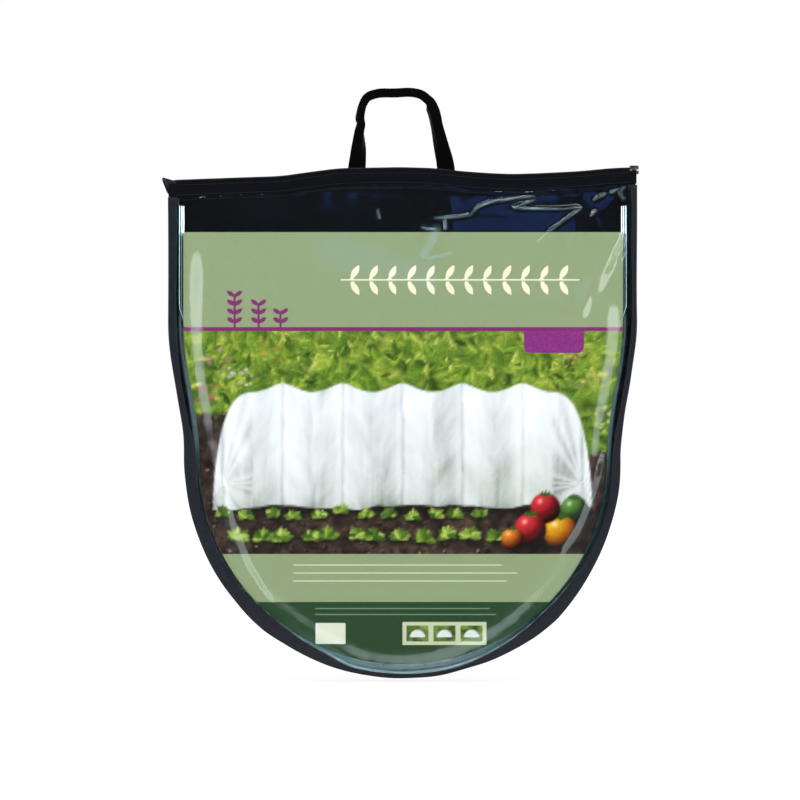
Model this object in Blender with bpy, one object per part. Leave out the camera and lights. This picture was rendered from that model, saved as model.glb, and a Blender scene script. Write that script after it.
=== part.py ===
"""A row cover tunnel, folded up and packed upright in its D-shaped carry bag.

Lengths are in metres, +Z is up and the clear front film faces -Y. The model is laid out from the bag's
lowest point and its middle plane, and then set so that the origin is under the handle's grip.
"""

import math

import bmesh
import bpy
from mathutils import Matrix, Vector

# Bag outline, seen from the front: a half circle below, sides that flare out, then upright sides.
BAG_RADIUS = 0.218
SIDE_FLARE = 0.016
FLARE_TOP_HEIGHT = 0.358
BAG_TOP_HEIGHT = 0.511
TOP_SAG = 0.013
# Where along the half width the top edge sags, and by what share of the sag.
TOP_EDGE_SHARES = (
    (-1.0, 1.0), (-0.78, 0.85), (-0.52, 0.69), (-0.4, 0.38), (-0.27, 0.08), (0.0, 0.0), (0.14, 0.08),
    (0.25, 0.31), (0.37, 0.46), (0.47, 0.54), (0.6, 0.46), (0.76, 0.31), (0.89, 0.08), (1.0, 0.0),
)

# Cloth, film and board.
FLEECE_THICKNESS = 0.0005
FILM_THICKNESS = 0.0005
TAPE_THICKNESS = 0.0006
BINDING_THICKNESS = 0.0008
GUSSET_THICKNESS = 0.0006
CARD_THICKNESS = 0.0004
TOUCH_GAP = 0.0003

# Hoops: wire pushed into the soil by two legs, each with a step that stops it.
HOOP_COUNT = 7
WIRE_RADIUS = 0.0018
HOOP_FLARE = 0.0102
STEP_BEND_HEIGHT = 0.356
STEP_RISE = 0.014
STEP_OUT = 0.006
STEP_BEND_LENGTH = 0.004
STEP_EASE_SHARE = 0.1
LEG_TIP_HEIGHT = 0.473

# Fleece cover: one length of fleece whose outer folds hold the hoops.
FOLD_DEPTH = 0.200
CASING_RADIUS = 0.00255
CASING_CHAMFER_SHARE = 0.415
PLEAT_GAP = 0.0004
COVER_TOP_HEIGHT = 0.350

# Gathered ends of the fleece and their drawcords.
NECK_HEIGHT = 0.250
NECK_RADIUS = 0.009
NECK_GAP_DEGREES = 6.0
PLEAT_RISE = 0.0011
# Rings of the gathered end from the rim to the neck's eye: how far in, and the shares of the neck's
# radius, of the pleats' rise and of the way from the fleece's plane out to the cord's.
SKIRT_RING_SHARES = (
    (0.0, 1.0, 0.25, 0.0), (0.35, 1.0, 0.5, 0.3), (0.7, 1.0, 0.8, 0.35), (1.0, 1.0, 1.0, 0.35),
    (1.0, 0.75, 0.8, 1.0), (1.0, 0.17, 0.2, 1.0),
)
END_PLEATS = 24
CORD_RADIUS = 0.00125
CORD_TURNS = 2
KNOT_RADIUS = 0.0028
KNOT_EXIT_SHARE = 0.6
KNOT_SHOULDER_SHARE = 0.5
CORD_END = 0.026
CORD_END_SPREAD = 0.011

# Bag seams: a gusset with turned-out edges, bound to the front film and the back panel.
SEAM_FIN = 0.0065
BINDING_EDGE = 0.0008
BINDING_WIDTH = 0.010
BINDING_WIDTH_AT_BOTTOM = 0.0045
BINDING_SLACK = 0.0005
HEM_HEIGHT = 0.014
HEM_DROP = 0.003

# Zip along the mouth, undone: each half's tape turns the corners and ends at the gusset's middle.
ZIP_TAPE_WIDTH = 0.014
ZIP_COIL_RADIUS = 0.0009
ZIP_CORNER_RADIUS = 0.005
ZIP_END_GAP = 0.009
SLIDER_LENGTH = 0.012
SLIDER_HEIGHT = 0.0085
SLIDER_WIDTH = 0.0096
SLIDER_PLATE = 0.0016
SLIDER_WAIST_SHARE = 0.6
SLIDER_ABOVE_TOP = 0.0025
PULL_LENGTH = 0.017
PULL_WIDTH = 0.0035
PULL_THICKNESS = 0.0012
PULL_INSET = 0.0024
PULL_EYE_DROP = 0.001

# End tabs of the zip, which stand out as ears at the bag's top corners.
TAB_DEPTH = 0.012
LEFT_TAB_REACH = 0.0075
LEFT_TAB_RISE = 0.004
LEFT_TAB_HEIGHT = 0.018
RIGHT_TAB_HEIGHT = 0.018
TAB_TIP_SHARE = 0.2
TAB_WAIST_SHARE = 0.75

# Handle: one webbing loop whose middle is folded in half for the grip.
WEBBING_WIDTH = 0.019
WEBBING_THICKNESS = 0.0016
GRIP_THICKNESS = 0.0036
HANDLE_HALF_SPAN = 0.0465
HANDLE_RISE = 0.0805
HANDLE_FOOT_HEIGHT = 0.026
GRIP_WIDTH_SHARE = 0.47
# Centre line as shares of the half span and the rise, then width and twist as shares.
HANDLE_SHARES = (
    (-1.0, 0.0, 1.0, 0.0), (-0.98, 0.14, 0.92, 0.0), (-0.96, 0.3, 0.8, 0.0), (-0.945, 0.56, 0.56, 0.1),
    (-0.91, 0.74, 0.42, 0.22), (-0.86, 0.85, 0.4, 0.26), (-0.76, 0.945, 0.44, 0.18),
    (-0.6, 0.985, GRIP_WIDTH_SHARE, 0.06), (-0.16, 1.0, GRIP_WIDTH_SHARE, 0.0),
    (0.28, 1.0, GRIP_WIDTH_SHARE, 0.0), (0.42, 0.975, GRIP_WIDTH_SHARE, -0.06),
    (0.56, 0.9, 0.5, -0.1), (0.67, 0.78, 0.54, -0.08), (0.755, 0.58, 0.64, 0.0),
    (0.86, 0.3, 0.84, 0.0), (0.93, 0.12, 0.95, 0.0), (0.95, 0.0, 1.0, 0.0),
)
HANDLE_TWIST_DEGREES = 180.0

# Printed card behind the film.
CARD_INSET = 0.0135
CARD_TOP_HEIGHT = 0.446
CARD_CORNER_RADIUS = 0.002

# Fineness of the curved pieces.
HOOP_ARC_STEPS = 18
ARC_STEPS = 2 * HOOP_ARC_STEPS
SIDE_STEPS = 3
WIRE_SIDES = 8
CORD_SIDES = 6
RING_STEPS = 16
ZIP_CORNER_STEPS = 4
CORD_END_STEPS = 4

# Sizes that follow from the ones above.
HALF_WIDTH = BAG_RADIUS + SIDE_FLARE
CASING_OUTER = CASING_RADIUS + FLEECE_THICKNESS / 2
HOOP_RADIUS = BAG_RADIUS - SEAM_FIN - GUSSET_THICKNESS - TOUCH_GAP - CASING_OUTER
LEG_REACH = HOOP_RADIUS + HOOP_FLARE + STEP_OUT
HOOP_PITCH = 2 * CASING_RADIUS + FLEECE_THICKNESS + PLEAT_GAP
PACK_HALF_DEPTH = (HOOP_COUNT - 1) / 2 * HOOP_PITCH + CASING_OUTER
SKIRT_OFFSET = PACK_HALF_DEPTH + TOUCH_GAP + PLEAT_RISE + FLEECE_THICKNESS / 2
SKIRT_FRONT = SKIRT_OFFSET + PLEAT_RISE + FLEECE_THICKNESS / 2
CORD_OFFSET = SKIRT_FRONT + TOUCH_GAP + CORD_RADIUS
CARD_FACE = CORD_OFFSET + CORD_RADIUS + TOUCH_GAP
TAPE_INNER = CARD_FACE + CARD_THICKNESS + TOUCH_GAP
HALF_DEPTH = TAPE_INNER + TAPE_THICKNESS
FILM_INNER = HALF_DEPTH + TOUCH_GAP
FILM_OUTER = FILM_INNER + FILM_THICKNESS
PLY_INNER = FILM_OUTER + TOUCH_GAP
PLY_OUTER = PLY_INNER + BINDING_THICKNESS
COIL_OUTER = HALF_DEPTH + TOUCH_GAP + 2 * ZIP_COIL_RADIUS
HANDLE_INNER = max(PLY_OUTER, COIL_OUTER) + TOUCH_GAP
HANDLE_OUTER = HANDLE_INNER + WEBBING_THICKNESS
WEB_OUTER = HALF_WIDTH - SEAM_FIN
WEB_INNER = WEB_OUTER - GUSSET_THICKNESS
LEFT_TOP = BAG_TOP_HEIGHT - TOP_SAG * TOP_EDGE_SHARES[0][1]
RIGHT_TOP = BAG_TOP_HEIGHT - TOP_SAG * TOP_EDGE_SHARES[-1][1]
HANDLE_BASE = BAG_TOP_HEIGHT - HEM_DROP
GRIP_CENTRE_HEIGHT = HANDLE_BASE + HANDLE_RISE
GRIP_UNDERSIDE = GRIP_CENTRE_HEIGHT - WEBBING_WIDTH * GRIP_WIDTH_SHARE / 2
HANDLE_MIDDLE = (HANDLE_INNER + HANDLE_OUTER) / 2

X_AXIS = Vector((1, 0, 0))
Y_AXIS = Vector((0, 1, 0))
Z_AXIS = Vector((0, 0, 1))


def clear_scene():
    for thing in list(bpy.data.objects):
        bpy.data.objects.remove(thing, do_unlink=True)


def material(name, colour, roughness, metallic=0.0, alpha=1.0):
    """Principled material with the part's colour, roughness and metallic value."""
    made = bpy.data.materials.new(name)
    made.use_nodes = True
    shader = made.node_tree.nodes["Principled BSDF"]
    shader.inputs["Base Color"].default_value = (*colour, 1)
    shader.inputs["Roughness"].default_value = roughness
    shader.inputs["Metallic"].default_value = metallic
    shader.inputs["Alpha"].default_value = alpha
    return made


def empty(name, place, parent=None):
    """Empty at a place given in the parent's axes."""
    made = bpy.data.objects.new(name, None)
    made.location = place
    made.parent = parent
    bpy.context.scene.collection.objects.link(made)
    return made


def add_object(name, shape, finish, parent):
    """Turn a bmesh laid out in bag coordinates into a named object under its parent."""
    bmesh.ops.recalc_face_normals(shape, faces=shape.faces)
    shape.transform(Matrix.Translation(-laid_out_place(parent)))
    mesh = bpy.data.meshes.new(name)
    shape.to_mesh(mesh)
    shape.free()
    mesh.materials.append(finish)
    made = bpy.data.objects.new(name, mesh)
    made.parent = parent
    bpy.context.scene.collection.objects.link(made)
    return made


def laid_out_place(parent):
    """Where a parent empty lies in bag coordinates, measured up its chain to the frame's own empty."""
    place = Vector((0, 0, 0))
    while parent.parent is not None:
        place += parent.location
        parent = parent.parent
    return place


def sweep(name, stations, sections, finish, parent):
    """Skin a section along stations, each an origin and two directions; one section may serve them all."""
    shape = bmesh.new()
    if not isinstance(sections[0][0], tuple):
        sections = [sections] * len(stations)
    rings = []
    for (origin, across, along), section in zip(stations, sections):
        rings.append([shape.verts.new(origin + across * a + along * b) for a, b in section])
    for ring, following in zip(rings, rings[1:]):
        for k in range(len(ring)):
            after = (k + 1) % len(ring)
            shape.faces.new((ring[k], ring[after], following[after], following[k]))
    shape.faces.new(rings[0])
    shape.faces.new(rings[-1])
    return add_object(name, shape, finish, parent)


def prism_stations(near, far):
    """Two stations that carry an outline drawn in X and Z from one depth to another."""
    return [(Y_AXIS * near, X_AXIS, Z_AXIS), (Y_AXIS * far, X_AXIS, Z_AXIS)]


def rectangle(low_a, high_a, low_b, high_b):
    return [(low_a, low_b), (high_a, low_b), (high_a, high_b), (low_a, high_b)]


def circle(radius, sides):
    """Points of a round section, turned so that its flats face the axes."""
    turn = math.pi / sides
    return [
        (radius * math.cos(turn + 2 * math.pi * k / sides), radius * math.sin(turn + 2 * math.pi * k / sides))
        for k in range(sides)
    ]


def top_edge(x):
    """Height of the bag's wavy top edge at a place across its width."""
    share = max(-1.0, min(1.0, x / HALF_WIDTH))
    for (left, left_sag), (right, right_sag) in zip(TOP_EDGE_SHARES, TOP_EDGE_SHARES[1:]):
        if share <= right:
            sag = left_sag + (right_sag - left_sag) * (share - left) / (right - left)
            return BAG_TOP_HEIGHT - TOP_SAG * sag
    return RIGHT_TOP


def flare(height, start, end, amount):
    """Share of a flare reached at a height, eased at both ends."""
    share = max(0.0, min(1.0, (height - start) / (end - start)))
    return amount * (1 - math.cos(math.pi * share)) / 2


def half_width(height):
    """Half the bag's width at a height above its lowest point."""
    if height < BAG_RADIUS:
        return math.sqrt(BAG_RADIUS**2 - (BAG_RADIUS - height) ** 2)
    return BAG_RADIUS + flare(height, BAG_RADIUS, FLARE_TOP_HEIGHT, SIDE_FLARE)


def side_heights(low, high, knees):
    """Heights from low to high, with the knees between them that lie inside."""
    steps = [low + (high - low) * k / SIDE_STEPS for k in range(SIDE_STEPS + 1)]
    return sorted(set(steps[:1] + steps[-1:] + [h for h in knees if low < h < high]))


def d_stations(left_top, right_top, radius, width_at, arc_steps, depth=0.0):
    """Stations down the left side, round the bottom and up the right side, looking inwards."""
    knees = [BAG_RADIUS + (FLARE_TOP_HEIGHT - BAG_RADIUS) * k / SIDE_STEPS for k in range(1, SIDE_STEPS + 1)]
    stations = []
    for height in reversed(side_heights(BAG_RADIUS, left_top, knees)):
        stations.append((Vector((-width_at(height), depth, height)), X_AXIS, Y_AXIS))
    for k in range(1, arc_steps):
        angle = math.pi + math.pi * k / arc_steps
        outward = Vector((math.cos(angle), 0, math.sin(angle)))
        centre = Vector((0, depth, BAG_RADIUS))
        stations.append((centre + outward * radius, -outward, Y_AXIS))
    for height in side_heights(BAG_RADIUS, right_top, knees):
        stations.append((Vector((width_at(height), depth, height)), -X_AXIS, Y_AXIS))
    return stations


def bag_stations(left_top, right_top):
    return d_stations(left_top, right_top, BAG_RADIUS, half_width, ARC_STEPS)


def d_outline(inset, top_at):
    """Outline of a flat D-shaped panel, an inset inside the bag's edge, with its top edge given."""
    reach = HALF_WIDTH - inset
    outline = [
        (origin.x + inward.x * inset, origin.z + inward.z * inset)
        for origin, inward, _ in bag_stations(top_at(-reach), top_at(reach))
    ]
    tops = [(share * HALF_WIDTH, top_at(share * HALF_WIDTH)) for share, _ in TOP_EDGE_SHARES[1:-1]]
    return outline + tops[::-1]


def hoop_width(height):
    """Half the spread of a hoop's legs at a height, below their steps."""
    return HOOP_RADIUS + flare(height, BAG_RADIUS, STEP_BEND_HEIGHT, HOOP_FLARE)


def hoop_stations(arc_steps, depth=0.0):
    """Stations along the hoops' line from one ground hem of the fleece round to the other."""
    return d_stations(COVER_TOP_HEIGHT, COVER_TOP_HEIGHT, HOOP_RADIUS, hoop_width, arc_steps, depth)


def path_stations(points, up):
    """Stations at the points of a flat path, each square to it: one direction in its plane, one up."""
    stations = []
    for k, point in enumerate(points):
        before = points[max(k - 1, 0)]
        after = points[min(k + 1, len(points) - 1)]
        along = (after - before).normalized()
        stations.append((point, up.cross(along).normalized(), up))
    return stations


def make_panel(name, inner, outer, finish, parent):
    """Flat film or cloth panel, its edge inside the binding and its top under the hem's lip."""
    inset = BINDING_EDGE + TOUCH_GAP
    drop = HEM_DROP + BINDING_THICKNESS + TOUCH_GAP
    outline = d_outline(inset, lambda x: top_edge(x) - drop)
    return sweep(name, prism_stations(inner, outer), outline, finish, parent)


def make_gusset(finish, parent):
    """Band between the panels, with both edges turned out into the bound seams."""
    edge = BINDING_EDGE + TOUCH_GAP
    web = SEAM_FIN + GUSSET_THICKNESS
    face = HALF_DEPTH
    turn = HALF_DEPTH - GUSSET_THICKNESS
    section = [
        (edge, -face), (web, -face), (web, face), (edge, face),
        (edge, turn), (SEAM_FIN, turn), (SEAM_FIN, -turn), (edge, -turn),
    ]
    drop = ZIP_TAPE_WIDTH + TOUCH_GAP
    return sweep("gusset", bag_stations(LEFT_TOP - drop, RIGHT_TOP - drop), section, finish, parent)


def binding_width(height):
    """Visible width of the binding, which narrows round the bag's bottom."""
    share = min(1.0, height / BAG_RADIUS) ** 0.5
    return BINDING_WIDTH_AT_BOTTOM + (BINDING_WIDTH - BINDING_WIDTH_AT_BOTTOM) * share


def make_binding(name, side, finish, parent):
    """Tape folded over the seam round the D: a ply outside, a fold at the edge and a ply inside."""
    drop = HEM_DROP + HEM_HEIGHT + TOUCH_GAP
    within = HALF_WIDTH - BINDING_WIDTH
    stations = bag_stations(min(LEFT_TOP, top_edge(-within)) - drop, min(RIGHT_TOP, top_edge(within)) - drop)
    inner_face = HALF_DEPTH - GUSSET_THICKNESS - TOUCH_GAP
    inner_back = inner_face - BINDING_THICKNESS
    inner_width = SEAM_FIN - BINDING_SLACK
    sections = []
    for origin, _, _ in stations:
        width = binding_width(origin.z)
        sections.append([
            (0, side * PLY_OUTER), (width, side * PLY_OUTER), (width, side * PLY_INNER),
            (BINDING_EDGE, side * PLY_INNER), (BINDING_EDGE, side * inner_face),
            (inner_width, side * inner_face), (inner_width, side * inner_back), (0, side * inner_back),
        ])
    return sweep(name, stations, sections, finish, parent)


def make_hem(name, side, finish, parent):
    """Tape along the mouth, with a lip over the panel's top edge."""
    section = [
        (side * FILM_INNER, 0), (side * PLY_OUTER, 0), (side * PLY_OUTER, -HEM_HEIGHT),
        (side * PLY_INNER, -HEM_HEIGHT), (side * PLY_INNER, -BINDING_THICKNESS),
        (side * FILM_INNER, -BINDING_THICKNESS),
    ]
    stations = []
    for share, _ in TOP_EDGE_SHARES:
        x = share * HALF_WIDTH
        stations.append((Vector((x, 0, top_edge(x) - HEM_DROP)), Y_AXIS, Z_AXIS))
    return sweep(name, stations, section, finish, parent)


def zip_path(side, outward):
    """Centre line of one zip half, moved outwards, from the left end tab round to the right one."""
    reach = (WEB_OUTER + WEB_INNER) / 2 + outward
    depth = (TAPE_INNER + HALF_DEPTH) / 2 + outward
    radius = ZIP_CORNER_RADIUS + outward
    points = [(-reach, ZIP_END_GAP), (-reach, depth - radius)]
    corner = [math.pi / 2 * k / ZIP_CORNER_STEPS for k in range(1, ZIP_CORNER_STEPS)]
    for angle in corner:
        points.append((-reach + radius * (1 - math.cos(angle)), depth - radius * (1 - math.sin(angle))))
    points.append((-reach + radius, depth))
    points += [(share * HALF_WIDTH, depth) for share, _ in TOP_EDGE_SHARES[1:-1]]
    points.append((reach - radius, depth))
    for angle in corner[::-1]:
        points.append((reach - radius * (1 - math.cos(angle)), depth - radius * (1 - math.sin(angle))))
    points += [(reach, depth - radius), (reach, ZIP_END_GAP)]
    return [Vector((x, side * y, top_edge(x))) for x, y in points]


def flat_stations(points):
    """Stations along a path that keep their second direction upright whatever the path's slope."""
    level = [Vector((point.x, point.y, 0)) for point in points]
    stations = path_stations(level, Z_AXIS)
    return [(point, across, up) for point, (_, across, up) in zip(points, stations)]


def make_zip_tape(name, side, finish, parent):
    section = rectangle(-TAPE_THICKNESS / 2, TAPE_THICKNESS / 2, -ZIP_TAPE_WIDTH, 0)
    return sweep(name, flat_stations(zip_path(side, 0)), section, finish, parent)


def make_zip_coil(name, side, finish, parent):
    """Nylon coil on the outer face of its tape, along the top."""
    outward = TAPE_THICKNESS / 2 + TOUCH_GAP + ZIP_COIL_RADIUS
    section = [(a, b - ZIP_COIL_RADIUS) for a, b in circle(ZIP_COIL_RADIUS, CORD_SIDES)]
    return sweep(name, flat_stations(zip_path(side, outward)), section, finish, parent)


def make_tab(name, side, top, reach, rise, height, finish, parent):
    """Folded tab over the zip's end, stitched to the outside of the gusset."""
    root = side * (WEB_OUTER + TOUCH_GAP)
    tip = side * (HALF_WIDTH + reach)
    waist = side * (HALF_WIDTH + reach * (1 - TAB_WAIST_SHARE))
    outline = [
        (root, top), (tip, top + rise), (tip, top + rise - height * TAB_TIP_SHARE),
        (waist, top - height * TAB_WAIST_SHARE), (root, top - height),
    ]
    return sweep(name, prism_stations(-TAB_DEPTH / 2, TAB_DEPTH / 2), outline, finish, parent)


def make_slider(finish, parent):
    """Zip slider parked at the right end: two plates joined by a wedge."""
    near = WEB_OUTER + TOUCH_GAP
    far = near + SLIDER_WIDTH
    high = RIGHT_TOP + SLIDER_ABOVE_TOP
    low = high - SLIDER_HEIGHT
    waist_near = near + SLIDER_WIDTH * (1 - SLIDER_WAIST_SHARE) / 2
    waist_far = far - SLIDER_WIDTH * (1 - SLIDER_WAIST_SHARE) / 2
    outline = [
        (near, low), (far, low), (far, low + SLIDER_PLATE), (waist_far, low + SLIDER_PLATE),
        (waist_far, high - SLIDER_PLATE), (far, high - SLIDER_PLATE), (far, high), (near, high),
        (near, high - SLIDER_PLATE), (waist_near, high - SLIDER_PLATE), (waist_near, low + SLIDER_PLATE),
        (near, low + SLIDER_PLATE),
    ]
    return sweep("zip_slider", prism_stations(-SLIDER_LENGTH / 2, SLIDER_LENGTH / 2), outline, finish, parent)


def pull_pivot():
    """Axis that the zip pull swings on, along X beside the slider."""
    across = HALF_WIDTH - PULL_INSET
    depth = SLIDER_LENGTH / 2 + TOUCH_GAP + PULL_THICKNESS / 2
    return Vector((across, depth, RIGHT_TOP - PULL_EYE_DROP))


def make_zip_pull(finish, parent):
    """Flat pull that hangs beside the slider, with a narrowed waist and a wider tip."""
    pivot = pull_pivot()
    half = PULL_WIDTH / 2
    eye = PULL_THICKNESS / 2
    narrow = half * SLIDER_WAIST_SHARE
    outline = [
        (-half, eye), (half, eye), (half, -half), (narrow, -PULL_WIDTH), (narrow, -PULL_LENGTH / 2),
        (half, half - PULL_LENGTH), (narrow, -PULL_LENGTH), (-narrow, -PULL_LENGTH),
        (-half, half - PULL_LENGTH), (-narrow, -PULL_LENGTH / 2), (-narrow, -PULL_WIDTH), (-half, -half),
    ]
    placed = [(pivot.x + a, pivot.z + b) for a, b in outline]
    near = pivot.y - PULL_THICKNESS / 2
    return sweep("zip_pull", prism_stations(near, near + PULL_THICKNESS), placed, finish, parent)


def make_handle_foot(name, x, finish, parent):
    """Sewn end of the handle's webbing, flat on the back hem."""
    half = WEBBING_WIDTH / 2
    outline = rectangle(x - half, x + half, HANDLE_BASE - HANDLE_FOOT_HEIGHT, HANDLE_BASE)
    return sweep(name, prism_stations(HANDLE_INNER, HANDLE_OUTER), outline, finish, parent)


def handle_hinge():
    """Line on which the webbing folds back: the outer top edge of its sewn ends."""
    return Vector((0, HANDLE_OUTER + TOUCH_GAP, HANDLE_BASE + TOUCH_GAP / 2))


def make_handle_loop(finish, parent):
    """Free loop of the handle: webbing that narrows and thickens towards the folded, level grip."""
    points = []
    sections = []
    for across, rise, width_share, _ in HANDLE_SHARES:
        height = HANDLE_BASE + TOUCH_GAP + (HANDLE_RISE - TOUCH_GAP) * rise
        points.append(Vector((across * HANDLE_HALF_SPAN, HANDLE_MIDDLE, height)))
        fold = min(1.0, max(0.0, 2 * (1 - width_share)))
        thickness = WEBBING_THICKNESS + (GRIP_THICKNESS - WEBBING_THICKNESS) * fold
        half = WEBBING_WIDTH * width_share / 2
        sections.append(rectangle(-half, half, -thickness / 2, thickness / 2))
    stations = path_stations(points, Y_AXIS)
    stations[0] = (points[0], X_AXIS * -1, Y_AXIS)
    stations[-1] = (points[-1], X_AXIS, Y_AXIS)
    for k, (_, rise, _, _) in enumerate(HANDLE_SHARES):
        if rise == 1:
            stations[k] = (points[k], -Z_AXIS, Y_AXIS)
    turned = []
    for (origin, across, up), (_, _, _, twist_share) in zip(stations, HANDLE_SHARES):
        along = across.cross(up)
        twist = Matrix.Rotation(math.radians(HANDLE_TWIST_DEGREES) * twist_share, 3, along)
        turned.append((origin, twist @ across, twist @ up))
    return sweep("handle_loop", turned, sections, finish, parent)


def make_card(finish, parent):
    """Printed insert card, cut to the bag's D with a straight top edge."""
    outline = d_outline(CARD_INSET, lambda x: CARD_TOP_HEIGHT)
    reach = HALF_WIDTH - CARD_INSET
    outline = [(x, z) for x, z in outline if z < CARD_TOP_HEIGHT]
    corner = CARD_CORNER_RADIUS
    outline += [(reach, CARD_TOP_HEIGHT - corner), (reach - corner, CARD_TOP_HEIGHT)]
    outline += [(corner - reach, CARD_TOP_HEIGHT), (-reach, CARD_TOP_HEIGHT - corner)]
    return sweep(
        "insert_card", prism_stations(-CARD_FACE - CARD_THICKNESS, -CARD_FACE), outline, finish, parent
    )


def hoop_depth(number):
    return (number - (HOOP_COUNT - 1) / 2) * HOOP_PITCH


def make_hoop(number, finish, parent):
    """One bent wire hoop: an arch, two flared sides, a step in each leg and a straight tip."""
    knee = hoop_width(STEP_BEND_HEIGHT)
    bend = STEP_BEND_LENGTH
    ease = STEP_OUT * STEP_EASE_SHARE
    leg = [
        (knee, STEP_BEND_HEIGHT - bend), (knee + ease, STEP_BEND_HEIGHT),
        (LEG_REACH - ease, STEP_BEND_HEIGHT + STEP_RISE),
        (LEG_REACH, STEP_BEND_HEIGHT + STEP_RISE + bend), (LEG_REACH, LEG_TIP_HEIGHT),
    ]
    lower = [
        (origin.x, origin.z)
        for origin, _, _ in d_stations(
            STEP_BEND_HEIGHT - 2 * bend, STEP_BEND_HEIGHT - 2 * bend, HOOP_RADIUS, hoop_width, HOOP_ARC_STEPS
        )
    ]
    path = [(-x, z) for x, z in leg[::-1]] + lower + leg
    depth = hoop_depth(number)
    points = [Vector((x, depth, z)) for x, z in path]
    section = circle(WIRE_RADIUS, WIRE_SIDES)
    return sweep(f"hoop_{number + 1}", path_stations(points, Y_AXIS), section, finish, parent)


def thicken(line, thickness):
    """Closed section of a thin sheet whose middle follows a line, with mitred corners."""
    sides = ([], [])
    for k, point in enumerate(line):
        before = (Vector(point) - Vector(line[k - 1])).normalized() if k else None
        after = (Vector(line[k + 1]) - Vector(point)).normalized() if k < len(line) - 1 else None
        before = before or after
        after = after or before
        normal = (Vector((-before.y, before.x)) + Vector((-after.y, after.x))).normalized()
        reach = thickness / 2 / normal.dot(Vector((-before.y, before.x)))
        for side, sign in zip(sides, (1, -1)):
            place = Vector(point) + normal * reach * sign
            side.append((place.x, place.y))
    return sides[0] + sides[1][::-1]


def cover_line():
    """Zigzag of the folded fleece across the pack: out round each hoop and back in between them."""
    line = []
    chamfer = CASING_RADIUS * CASING_CHAMFER_SHARE
    for number in range(HOOP_COUNT):
        middle = hoop_depth(number)
        fold = [
            (FOLD_DEPTH, middle - CASING_RADIUS), (0, middle - CASING_RADIUS),
            (-CASING_RADIUS, middle - chamfer), (-CASING_RADIUS, middle + chamfer),
            (0, middle + CASING_RADIUS), (FOLD_DEPTH, middle + CASING_RADIUS),
        ]
        line += fold
    return line


def make_cover(finish, parent):
    section = thicken(cover_line(), FLEECE_THICKNESS)
    return sweep("fleece_cover", hoop_stations(HOOP_ARC_STEPS), section, finish, parent)


def make_end_skirt(name, side, finish, parent):
    """Gathered end: fleece drawn in from the end hoop to a neck in pleats that deepen towards it."""
    rim = hoop_stations(END_PLEATS * 2 - 2 * SIDE_STEPS)
    count = len(rim)
    flat = SKIRT_OFFSET - PLEAT_RISE
    proud = CORD_OFFSET - PLEAT_RISE
    gap = math.radians(NECK_GAP_DEGREES)
    shape = bmesh.new()
    faces_of = {1: [], -1: []}
    for sign, rows in faces_of.items():
        for inward, neck_share, rise_share, proud_share in SKIRT_RING_SHARES:
            offset = flat + (proud - flat) * proud_share
            row = []
            for k, (origin, _, _) in enumerate(rim):
                angle = math.pi / 2 + gap + (2 * math.pi - 2 * gap) * k / (count - 1)
                neck = Vector((math.cos(angle), 0, math.sin(angle))) * NECK_RADIUS * neck_share
                place = origin.lerp(neck + Z_AXIS * NECK_HEIGHT, inward)
                pleat = PLEAT_RISE * rise_share * (1 if k % 2 else -1)
                place.y = side * (offset + pleat + sign * FLEECE_THICKNESS / 2)
                row.append(shape.verts.new(place))
            rows.append(row)
    for rows in faces_of.values():
        for row, following in zip(rows, rows[1:]):
            for k in range(count - 1):
                shape.faces.new((row[k], row[k + 1], following[k + 1], following[k]))
    over, under = faces_of[1], faces_of[-1]
    for edge in (0, -1):
        for k in range(count - 1):
            shape.faces.new((over[edge][k], over[edge][k + 1], under[edge][k + 1], under[edge][k]))
        for j in range(len(SKIRT_RING_SHARES) - 1):
            shape.faces.new((over[j][edge], over[j + 1][edge], under[j + 1][edge], under[j][edge]))
    return add_object(name, shape, finish, parent)


def make_drawcord(name, side, finish, parent):
    """Cord wound round the neck, turn beside turn, from the neck out to the knot below it."""
    centre = Vector((0, side * CORD_OFFSET, NECK_HEIGHT))
    pitch = 2 * CORD_RADIUS + TOUCH_GAP
    points = []
    for k in range(RING_STEPS * CORD_TURNS + 1):
        angle = 2 * math.pi * k / RING_STEPS - math.pi / 2
        radius = NECK_RADIUS + TOUCH_GAP + CORD_RADIUS + pitch * k / RING_STEPS
        points.append(centre + Vector((math.cos(angle), 0, math.sin(angle))) * radius)
    return sweep(name, path_stations(points, Y_AXIS), circle(CORD_RADIUS, CORD_SIDES), finish, parent)


def knot_centre(side):
    """Place of the knot, below the outermost turn of the cord."""
    coil = NECK_RADIUS + TOUCH_GAP + 2 * CORD_RADIUS + (2 * CORD_RADIUS + TOUCH_GAP) * CORD_TURNS
    return Vector((0, side * CORD_OFFSET, NECK_HEIGHT - coil - TOUCH_GAP - KNOT_RADIUS))


def make_knot(name, side, finish, parent):
    """Knot, pressed flat on the fleece."""
    centre = knot_centre(side)
    flatten = CORD_RADIUS / KNOT_RADIUS
    stations = []
    shoulder = KNOT_SHOULDER_SHARE
    for depth_share, width_share in ((-1, flatten), (-shoulder, 1), (shoulder, 1), (1, flatten)):
        place = centre + Y_AXIS * CORD_RADIUS * depth_share
        stations.append((place, X_AXIS * width_share, Z_AXIS * width_share))
    return sweep(name, stations, circle(KNOT_RADIUS, WIRE_SIDES), finish, parent)


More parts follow.
